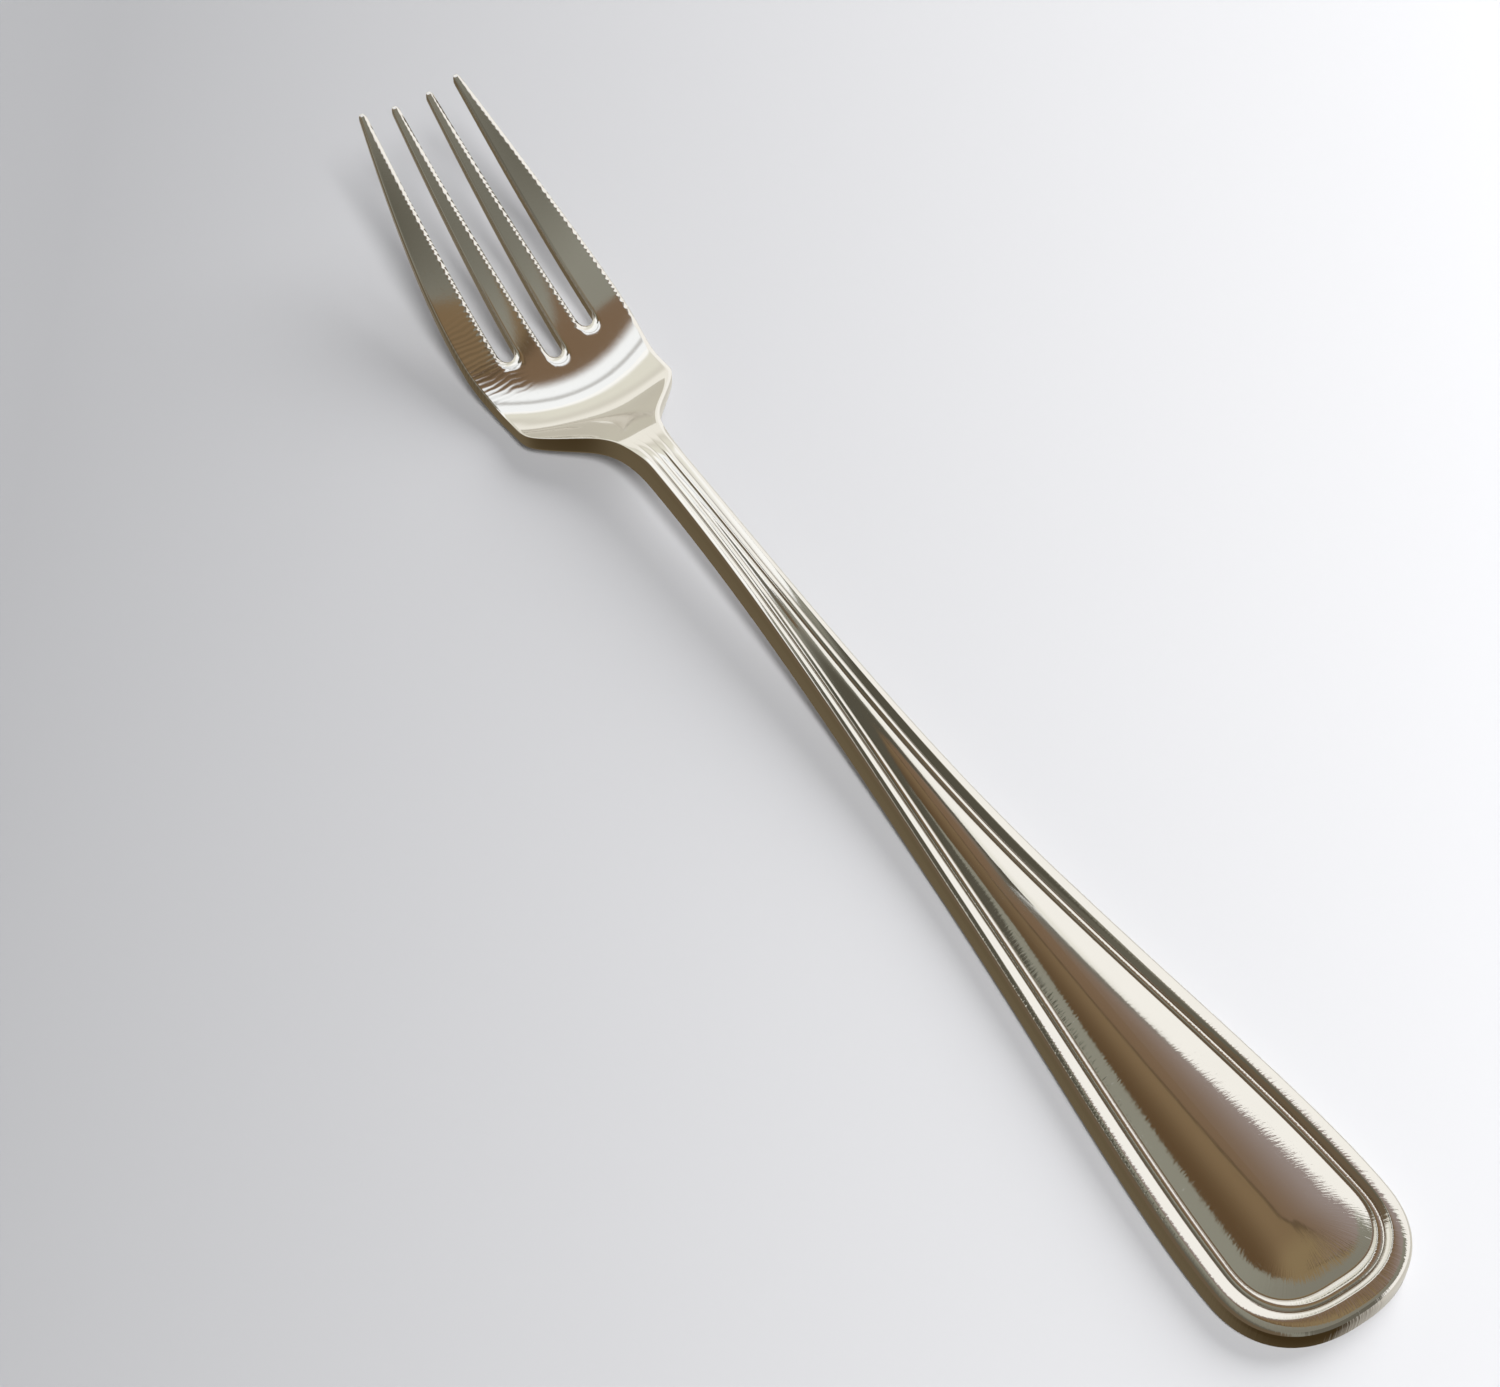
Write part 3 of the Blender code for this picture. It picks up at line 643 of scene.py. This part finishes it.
    def edges(self, x, y, half, sides, side):
        """Drop of the face and rise of the back at the head's edges: bevels with ticks on the edges that
        face right, and small round-overs on those that face left."""
        relief = self.relief
        to_slot, under, outward = self.slot_distance(x, y, sides)
        inner = x < self.plan.outer_slots / 2
        tine = np.where(inner, (sides[1] - sides[2])[:, None], half - sides[0][:, None])
        narrow = np.minimum(relief.edge_width, EDGE_LIMIT * tine)
        width = np.where(y < self.outer_centre_y, relief.edge_width, narrow)
        depth = np.minimum(relief.edge_round, EDGE_LIMIT * self.thickness(y))
        ticked = width * self.ticks(x * side, y)
        small = LEFT_EDGE * width
        outline = half - x
        end = np.where(inner, self.inner_tip_y, self.tip_y) - y
        bottom = under ** 2
        faces_right = outward == (side > 0)
        share = to_slot / mix(np.where(faces_right, ticked, small), relief.slot_bottom_edge, bottom)
        slot = mix(np.where(faces_right, bevel(share), quarter(share)), quarter(share), bottom)
        slot = slot * mix(depth, relief.slot_bottom_drop, bottom)
        outer = depth * (bevel(outline / ticked) if side > 0 else quarter(outline / small))
        drop = np.maximum(outer, np.maximum(slot, depth * quarter(end / width)))
        heel = 1 - ease((y - self.shoulder_y) / self.plan.palm_length)
        back_width = mix(width, relief.back_round_width, heel)
        back = mix(depth, relief.back_round, heel) * quarter(outline / back_width)
        back = np.maximum(back, depth * np.maximum(quarter(to_slot / width), quarter(end / width)))
        return drop, back

    def surface(self, side):
        """Places of the right half (side 1) or left half (side -1) of the face and back, by row and lane, and
        the values that the steel needs there."""
        plan, relief = self.plan, self.relief
        outer_x, outer_y, axis_y, round_end = self.rows()
        spoke = np.hypot(outer_x, axis_y - outer_y)
        sizes = self.thread_sizes(outer_x, outer_y, round_end, side)
        sides = self.slot_sides(outer_y)
        faded = ease((outer_y - self.neck_y) / relief.thread_fade)[:, None]
        on_handle = self.handle_lanes(spoke, sizes)
        on_head = outer_x[:, None] - self.head_lanes(outer_x, outer_y)
        distance = np.where(faded > 0, mix(on_handle, on_head, faded), on_handle)
        share = distance / spoke[:, None]
        x = outer_x[:, None] * (1 - share)
        x[:, LAST_LANE] = 0.0
        x[0] = 0.0
        y = mix(outer_y[:, None], axis_y[:, None], share)
        y = np.where(outer_y[:, None] > self.base_y, self.bend_to_slots(outer_y), y)
        threads, groove, brushed = self.threads(distance, x, y, sizes)
        drop, back_edge = self.edges(x, y, outer_x[:, None], sides, side)
        aside = self.sideways(x, y, outer_x[:, None])
        plain_back = self.lift(y - plan.belly_bow * aside) + plan.dish_depth * aside
        rounded = relief.back_round * quarter(distance / np.minimum(relief.back_round_width, sizes.half))
        face = plain_back + self.thickness(y) + mix(threads, -drop, faded)
        back = np.maximum(plain_back - plan.worn_flat, 0) + mix(rounded, back_edge, faded)
        along = np.cumsum(np.hypot(np.diff(outer_x, prepend=0.0), np.diff(outer_y, prepend=0.0)))
        # groove: where shade is painted into the grooves
        masks = {"groove": groove * (1 - faded), "brushed": brushed * (1 - faded),
                 "along": np.repeat(along[:, None], LAST_LANE + 1, axis=1)}
        return side * x, y - self.middle_y, face, back, masks


def half_fork(fork, x, y, face, back, masks):
    """Adds one half of the fork to its mesh, open along the plane of symmetry, with the steel's values."""
    middle_row = END_ROWS + TAPER_ROWS + HEEL_ROWS + ROOT_ROWS
    outer_row = middle_row + FORK_ROWS
    last_row = len(x) - 1
    layers = {name: fork.verts.layers.float.get(name) or fork.verts.layers.float.new(name) for name in masks}

    def end_of(lane):
        """Last row of a lane."""
        if lane > HALF_SLOT_LANE:
            return middle_row
        if OUTER_SLOT_LANE < lane < INNER_TINE_LANE:
            return outer_row
        return last_row

    def points(height):
        made = {}
        for lane in range(LAST_LANE + 1):
            for row in range(end_of(lane) + 1):
                vertex = fork.verts.new((x[row, lane], y[row, lane], height[row, lane]))
                for name, layer in layers.items():
                    vertex[layer] = masks[name][row, lane]
                made[row, lane] = vertex
        return made

    top, bottom = points(face), points(back)
    for lane in range(LAST_LANE):
        for row in range(min(end_of(lane), end_of(lane + 1))):
            corners = ((row, lane), (row + 1, lane), (row + 1, lane + 1), (row, lane + 1))
            fork.faces.new([top[corner] for corner in corners])
            fork.faces.new([bottom[corner] for corner in reversed(corners)])
    walls = (
        [(row, 0) for row in range(last_row + 1)],
        [(last_row, lane) for lane in range(OUTER_SLOT_LANE + 1)],
        [(row, OUTER_SLOT_LANE) for row in range(last_row, outer_row - 1, -1)],
        [(outer_row, lane) for lane in range(OUTER_SLOT_LANE, INNER_TINE_LANE + 1)],
        [(row, INNER_TINE_LANE) for row in range(outer_row, last_row + 1)],
        [(last_row, lane) for lane in range(INNER_TINE_LANE, HALF_SLOT_LANE + 1)],
        [(row, HALF_SLOT_LANE) for row in range(last_row, middle_row - 1, -1)],
        [(middle_row, lane) for lane in range(HALF_SLOT_LANE, LAST_LANE + 1)],
    )
    for places in walls:
        for one, other in zip(places, places[1:]):
            fork.faces.new((top[one], bottom[one], bottom[other], top[other]))


def fork_mesh(form):
    """The whole fork as one closed mesh."""
    fork = bmesh.new()
    for side in (1, -1):
        half_fork(fork, *form.surface(side))
    bmesh.ops.remove_doubles(fork, verts=fork.verts[:], dist=WELD)
    bmesh.ops.recalc_face_normals(fork, faces=fork.faces[:])
    for polygon in fork.faces:
        polygon.smooth = True
    mesh = bpy.data.meshes.new("fork_polished")
    fork.to_mesh(mesh)
    fork.free()
    return mesh


class Wire:
    """A shader socket that Python's operators work on: an expression on values adds its Math nodes."""

    def __init__(self, nodes, socket):
        self.nodes = nodes
        self.socket = socket

    def math(self, operation, other=0.0):
        return self.nodes.math(operation, self, other)

    def __add__(self, other):
        return self.math("ADD", other)

    def __sub__(self, other):
        return self.math("SUBTRACT", other)

    def __rsub__(self, other):
        return self.nodes.math("SUBTRACT", other, self)

    def __mul__(self, other):
        return self.math("MULTIPLY", other)

    def __truediv__(self, other):
        return self.math("DIVIDE", other)

    def __rtruediv__(self, other):
        return self.nodes.math("DIVIDE", other, self)

    __radd__ = __add__
    __rmul__ = __mul__

    def step(self, low, high):
        """Smooth step from 0 at low to 1 at high, or the other way round where high is the lower one."""
        rising = low < high
        limits = {"From Min": min(low, high), "From Max": max(low, high),
                  "To Min": 0.0 if rising else 1.0, "To Max": 1.0 if rising else 0.0}
        return self.nodes.add("ShaderNodeMapRange", {"interpolation_type": "SMOOTHSTEP"},
                              {"Value": self, **limits})


class Nodes:
    """The nodes of one material or world."""

    def __init__(self, tree):
        self.tree = tree
        tree.nodes.clear()

    def add(self, kind, settings=None, inputs=None, output=0):
        """Adds a node, sets its settings and then its sockets, and gives one of its outputs."""
        node = self.tree.nodes.new(kind)
        for name, value in (settings or {}).items():
            setattr(node, name, value)
        for name, value in (inputs or {}).items():
            socket = node.inputs[name]
            if isinstance(value, Wire):
                self.tree.links.new(value.socket, socket)
            else:
                socket.default_value = value
        return Wire(self, node.outputs[output]) if node.outputs else node

    def math(self, operation, *operands):
        return self.add("ShaderNodeMath", {"operation": operation}, dict(enumerate(operands)))

    def value(self, name):
        """A value that the mesh holds on its points."""
        return self.add("ShaderNodeAttribute", {"attribute_name": name}, output="Fac")

    def blend(self, factor, one, other):
        """A colour between two colours."""
        one, other = (paint if isinstance(paint, Wire) else (*paint, 1.0) for paint in (one, other))
        return self.add("ShaderNodeMix", {"data_type": "RGBA"}, {"Factor": factor, 6: one, 7: other}, 2)

    def cover(self, under, axis, *paints):
        """A colour with paints laid over it, each where it starts along an axis."""
        for paint in paints:
            under = self.blend(axis.step(paint.start, paint.full) * paint.share, under, paint.colour)
        return under

    def stripe(self, under, axis, line):
        """A colour with a line of another colour over it."""
        mask = axis.step(*line.starts) * axis.step(*line.ends)
        return self.blend(mask * line.share, under, line.colour)

    def noise(self, place, scale, detail=2.0):
        inputs = {"Vector": place, "Scale": scale, "Detail": detail}
        return self.add("ShaderNodeTexNoise", None, inputs, "Fac")

    def split(self, place):
        """The three parts of a vector."""
        first = self.add("ShaderNodeSeparateXYZ", None, {"Vector": place})
        return [Wire(self, socket) for socket in first.socket.node.outputs]

    def stretch(self, place, scale, turn=(0.0, 0.0, 0.0)):
        return self.add("ShaderNodeMapping", None, {"Vector": place, "Scale": scale, "Rotation": turn})


def polished_steel(finish):
    """Polished steel: streaks and hairlines along it, marks across the rim, ripples with painted reflection
    stripes, painted shade in the grooves.
    """
    material = bpy.data.materials.new("polished_steel")
    material.use_nodes = True
    nodes = Nodes(material.node_tree)
    place = nodes.add("ShaderNodeTexCoord", output="Object")
    x, y, _ = nodes.split(place)
    streak = nodes.noise(nodes.stretch(place, STREAK_STRETCH), STREAK_CELLS, 3.0)
    cloud = nodes.noise(place, CLOUD_CELLS, 3.0)
    hairline = nodes.noise(nodes.stretch(place, HAIRLINE_STRETCH, HAIRLINE_TURN), HAIRLINE_CELLS, 1.0)
    hairline = hairline.step(*HAIRLINE_SHOWS)
    across = nodes.add("ShaderNodeCombineXYZ", None, {"X": nodes.value("along"), "Y": TOOTH_SPREAD * x})
    tooth = nodes.noise(across, 1 / finish.tooth_pitch)
    ripple = y * (math.tau / finish.ripple_pitch) + RIPPLE_WANDER * nodes.noise(place, RIPPLE_CELLS)
    ripple = ripple.math("SINE")
    rippled = x.step(*RIPPLE_SIDE) * y.step(*RIPPLE_ROOT) * y.step(*RIPPLE_TIP)
    # Painted shade: the grooves are darker and duller, by a cloudy share
    groove_shade = nodes.value("groove") * (GROOVE_SHADE_LEAST + GROOVE_SHADE_CLOUD * cloud)
    # A random cloudy tone, and the darker tone of the painted reflection stripes
    clouded, painted_ripple_reflection = ([tone * part for part in finish.steel] for tone in (CLOUD_TONE, RIPPLE_REFLECTION_TONE))
    steel = nodes.blend(cloud.step(*CLOUD_SHOWS) * CLOUD_SHARE, finish.steel, clouded)
    # Painted reflection: dark stripes along the ripples at the root of the left tine
    steel = nodes.blend(ripple.step(-1.0, 1.0) * rippled * RIPPLE_REFLECTION_SHARE, steel, painted_ripple_reflection)
    # Painted shade laid into the grooves
    steel = nodes.blend(groove_shade, steel, finish.groove_shade_colour)
    roughness = finish.roughness + finish.streaks * streak
    roughness = roughness + GROOVE_ROUGHNESS * groove_shade + HAIRLINE_ROUGHNESS * hairline
    height = finish.streak_relief * (streak + HAIRLINE_RELIEF * hairline)
    height = height + finish.tooth_relief * tooth * nodes.value("brushed")
    height = height + finish.ripple_relief * ripple * rippled
    marks = nodes.add("ShaderNodeBump", None, {"Strength": 1.0, "Distance": finish.relief, "Height": height})
    shader = nodes.add("ShaderNodeBsdfPrincipled", None,
                       {"Base Color": steel, "Metallic": 1.0, "Roughness": roughness, "Normal": marks})
    nodes.add("ShaderNodeOutputMaterial", None, {"Surface": shader})
    return material


class FORK_OT_body(bpy.types.Operator):
    """Make the polished fork in place of the plain solid"""

    bl_idname = "fork.body"
    bl_label = "Polished fork"

    def execute(self, context):
        scene = context.scene
        mesh = fork_mesh(ForkForm(scene.fork_outline, scene.fork_relief))
        mesh.materials.append(polished_steel(scene.fork_finish))
        fork = bpy.data.objects.new("fork_polished", mesh)
        scene.collection.objects.link(fork)
        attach(fork, "root")
        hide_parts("fork")
        return {"FINISHED"}


def camera_frame(stage):
    """The camera's right, up and back directions."""
    back = Vector((math.sin(stage.azimuth) * math.cos(stage.elevation),
                   -math.cos(stage.azimuth) * math.cos(stage.elevation), math.sin(stage.elevation)))
    right = Vector((math.cos(stage.azimuth), math.sin(stage.azimuth), 0.0))
    up = back.cross(right)
    turned = right * math.cos(stage.roll) + up * math.sin(stage.roll)
    return turned, back.cross(turned), back


def studio_room(scene):
    """The room that the steel mirrors: bright in front and on the right, dim elsewhere, a table below."""
    world = bpy.data.worlds.new("studio_room")
    scene.world = world
    world.use_nodes = True
    world.cycles_visibility.diffuse = False
    nodes = Nodes(world.node_tree)
    x, y, z = nodes.split(nodes.add("ShaderNodeTexCoord", output="Generated"))
    room = nodes.cover(ROOM_BACK, x, *ROOM_LEFT)
    front = nodes.cover(FRONT_LOW, z, *FRONT_HIGHER)
    room = nodes.blend(y.step(*FRONT_STARTS) * x.step(*FRONT_LEFT), room, front)
    room = nodes.blend(x.step(*RIGHT_STARTS) * z.step(*RIGHT_TOP), room, ROOM_RIGHT)
    table = nodes.cover(TABLE_BACK, y, TABLE_FRONT)
    table = nodes.cover(table, x, TABLE_RIGHT)
    far = nodes.cover(TABLE_FAR, z, TABLE_FAR_LOW)
    table = nodes.blend(y.step(*TABLE_FAR_STARTS), table, far)
    room = nodes.blend(z.step(*HORIZON), room, table)
    shade = nodes.add("ShaderNodeBackground", None, {"Color": room, "Strength": 1.0})
    nodes.add("ShaderNodeOutputWorld", None, {"Surface": shade})


def card(scene, name, outline, height, paint):
    """A flat card over the fork that only its mirror image shows."""
    material = bpy.data.materials.new(name)
    material.use_nodes = True
    nodes = Nodes(material.node_tree)
    x, y, _ = nodes.split(nodes.add("ShaderNodeTexCoord", output="Object"))
    glow = nodes.add("ShaderNodeEmission", None, {"Color": paint(nodes, x, y), "Strength": 1.0})
    nodes.add("ShaderNodeOutputMaterial", None, {"Surface": glow})
    mesh = bpy.data.meshes.new(name)
    mesh.from_pydata([(*place, height) for place in outline], [], [range(len(outline))])
    mesh.materials.append(material)
    sheet = bpy.data.objects.new(name, mesh)
    for ray in ("camera", "diffuse", "transmission", "volume_scatter", "shadow"):
        setattr(sheet, "visible_" + ray, False)
    scene.collection.objects.link(sheet)


def brown_paint(nodes, x, y):
    """Olive brown on the left, rosy brown that pales to the right, and a dark line between them."""
    border = x + BORDER_SLOPE_FRONT * y.math("MAXIMUM") + BORDER_SLOPE_BACK * y.math("MINIMUM") - BORDER_X
    border = border.math("MINIMUM", y + BORDER_END)
    olive = nodes.cover(nodes.cover(OLIVE_LEFT, x, OLIVE), y, OLIVE_FRONT)
    olive = nodes.blend(y.step(*OLIVE_CORNER_BACK) * x.step(*OLIVE_CORNER_RIGHT), olive, OLIVE_CORNER)
    tone = nodes.blend(border.step(*BORDER_SOFTNESS), olive, nodes.cover(ROSY, x, ROSY_RIGHT))
    return nodes.cover(nodes.stripe(tone, border, BORDER_LINE), y, BROWN_FRONT)


def ceiling_paint(nodes, x, y):
    """Grey, dimmer to the left and to the back."""
    return nodes.cover(nodes.cover(CEILING_BACK, y, CEILING_FRONT), x, CEILING_LEFT)


def grey_paint(nodes, x, y):
    """Grey green, dimmer to the back."""
    return nodes.cover(GREY_BACK, y, GREY_FRONT)


def white_paint(nodes, x, y):
    """White with a soft edge and a grey line along it."""
    return nodes.stripe(nodes.cover(WHITE_EDGE, y, WHITE), y, WHITE_LINE)


# Outlines of the cards as (x, y) places in metres
CARD_FRONT = ((0.6, 0.1), (0.57, 0.148), (0.49, 0.17), (0.35, 0.197), (0.29, 0.207), (0.2, 0.198),
              (0.13, 0.2), (0.11, 0.22), (0.1, 0.245), (0.05, 0.25), (0.0, 0.24), (-0.05, 0.2))
WHITE_CARD = ((0.012, WHITE.start), (0.1, WHITE.start), (0.1, 0.112), (0.012, 0.112))
CEILING_CARD = ((-0.6, -0.5), (0.6, -0.5), *CARD_FRONT, (-0.2, 0.2), (-0.6, 0.25))
BROWN_CARD = (*CARD_FRONT, (-0.02, 0.17), (-0.05, 0.15), (-0.075, 0.1), (-0.08, 0.05), (-0.07, 0.0),
              (0.0, -0.12), (0.1, -0.22), (0.2, -0.28), (0.3, -0.23), (0.42, -0.13), (0.56, 0.0))
GREY_CARD = ((-0.12, 0.0595), (0.027, 0.0598), (0.03, 0.0705), (0.0358, 0.0705), (0.0372, 0.066),
             (0.039, 0.059), (0.0425, 0.058), (0.0445, 0.0705), (0.0497, 0.0685), (0.0517, 0.066),
             (0.054, 0.0635), (0.057, 0.059), (0.0595, 0.0738), (0.0632, 0.0748), (0.0661, 0.0765),
             (0.075, 0.078), (0.1, 0.08), (0.1, 0.044), (0.03, 0.041), (-0.02, 0.036), (-0.05, 0.02),
             (-0.12, 0.0))

# Name, outline, height and paint of each card
CARDS = (
    ("ceiling_card", CEILING_CARD, 0.43, ceiling_paint),
    ("brown_card", BROWN_CARD, 0.42, brown_paint),
    ("grey_card", GREY_CARD, 0.14, grey_paint),
    ("white_card", WHITE_CARD, 0.1, white_paint),
)

FLOOR_LIGHT = 1.43  # how bright a white floor is in this light
FLOOR_SIDES = 96
BLACK = (0.0, 0.0, 0.0)


def pale_floor(stage):
    """Plain floor with painted light: its colour pales from left to right of the picture, in place of light
    that falls off to the left.
    """
    material = bpy.data.materials.new("pale_floor")
    material.use_nodes = True
    nodes = Nodes(material.node_tree)
    place = nodes.add("ShaderNodeTexCoord", output="Object")
    right, _, _ = camera_frame(stage)
    along = nodes.add("ShaderNodeVectorMath", {"operation": "DOT_PRODUCT"}, {0: place, 1: right}, "Value")
    # Painted light: the floor pales towards the picture's right
    pale = along / stage.floor_fade + 0.5
    tone = nodes.blend(pale, stage.floor_dark, stage.floor_pale)
    # Painted light: the floor glows with a share of its brightness, and its colour is lowered by that share
    lit = nodes.blend(stage.floor_glow, tone, BLACK)
    shader = nodes.add("ShaderNodeBsdfPrincipled", None,
                       {"Base Color": lit, "Roughness": 0.9, "Specular IOR Level": 0.0,
                        "Emission Color": tone, "Emission Strength": FLOOR_LIGHT * stage.floor_glow})
    nodes.add("ShaderNodeOutputMaterial", None, {"Surface": shader})
    return material


def soft_light(scene, name, strength, softness, towards):
    """A wide, far lamp that lights the floor and that the steel does not mirror."""
    lamp = bpy.data.lights.new(name, "SUN")
    lamp.energy = strength
    lamp.angle = softness
    light = bpy.data.objects.new(name, lamp)
    light.visible_glossy = False
    light.rotation_euler = Vector(towards).to_track_quat("Z", "Y").to_euler()
    scene.collection.objects.link(light)


def studio_floor(scene, stage):
    """A wide, plain disc under the fork that the steel does not mirror."""
    disc = bmesh.new()
    bmesh.ops.create_circle(disc, cap_ends=True, segments=FLOOR_SIDES, radius=stage.floor_reach)
    mesh = bpy.data.meshes.new("floor")
    disc.to_mesh(mesh)
    disc.free()
    mesh.materials.append(pale_floor(stage))
    floor = bpy.data.objects.new("floor", mesh)
    scene.collection.objects.link(floor)
    floor.visible_glossy = False


def studio_camera(scene, stage):
    """The scene's camera, turned to its target."""
    right, up, back = camera_frame(stage)
    lens = bpy.data.cameras.new("camera")
    lens.sensor_width = SENSOR_WIDTH
    lens.lens = stage.focal_pixels / IMAGE_WIDTH * SENSOR_WIDTH
    lens.clip_start = CLIP_START
    camera = bpy.data.objects.new("camera", lens)
    spot = Vector(stage.target) + back * stage.distance
    camera.matrix_world = Matrix.Translation(spot) @ Matrix((right, up, back)).transposed().to_4x4()
    scene.collection.objects.link(camera)
    scene.camera = camera


class FORK_OT_stage(bpy.types.Operator):
    """Make the floor, the light and the camera"""

    bl_idname = "fork.stage"
    bl_label = "Studio stage"

    def execute(self, context):
        scene = context.scene
        stage = scene.fork_stage
        scene.view_settings.view_transform = "Standard"
        studio_floor(scene, stage)
        studio_room(scene)
        for name, outline, height, paint in CARDS:
            card(scene, name, outline, height, paint)
        soft_light(scene, "front_light", stage.front_light, stage.front_softness, stage.front_from)
        soft_light(scene, "side_light", stage.side_light, stage.side_softness, stage.side_from)
        studio_camera(scene, stage)
        return {"FINISHED"}


class FORK_PT_panel(bpy.types.Panel):
    """Fork, finish and stage"""

    bl_label = "Fork"
    bl_idname = "FORK_PT_panel"
    bl_space_type = "VIEW_3D"
    bl_region_type = "UI"
    bl_category = "Fork"

    def draw(self, context):
        for operator in (FORK_OT_body, FORK_OT_stage):
            self.layout.operator(operator.bl_idname)
        for name in GROUPS:
            group = getattr(context.scene, name)
            box = self.layout.box()
            for key in group.__annotations__:
                box.prop(group, key)


GROUPS = {"fork_outline": ForkOutline, "fork_relief": ForkRelief, "fork_finish": SteelFinish,
          "fork_stage": StudioStage}
CLASSES = (*GROUPS.values(), FORK_OT_body, FORK_OT_stage, FORK_PT_panel)


def register():
    for cls in CLASSES:
        bpy.utils.register_class(cls)
    for name, group in GROUPS.items():
        setattr(bpy.types.Scene, name, bpy.props.PointerProperty(type=group))


def unregister():
    for name in GROUPS:
        delattr(bpy.types.Scene, name)
    for cls in reversed(CLASSES):
        bpy.utils.unregister_class(cls)


def main():
    register()
    bpy.ops.fork.body()
    bpy.ops.fork.stage()


if __name__ == "__main__":
    main()
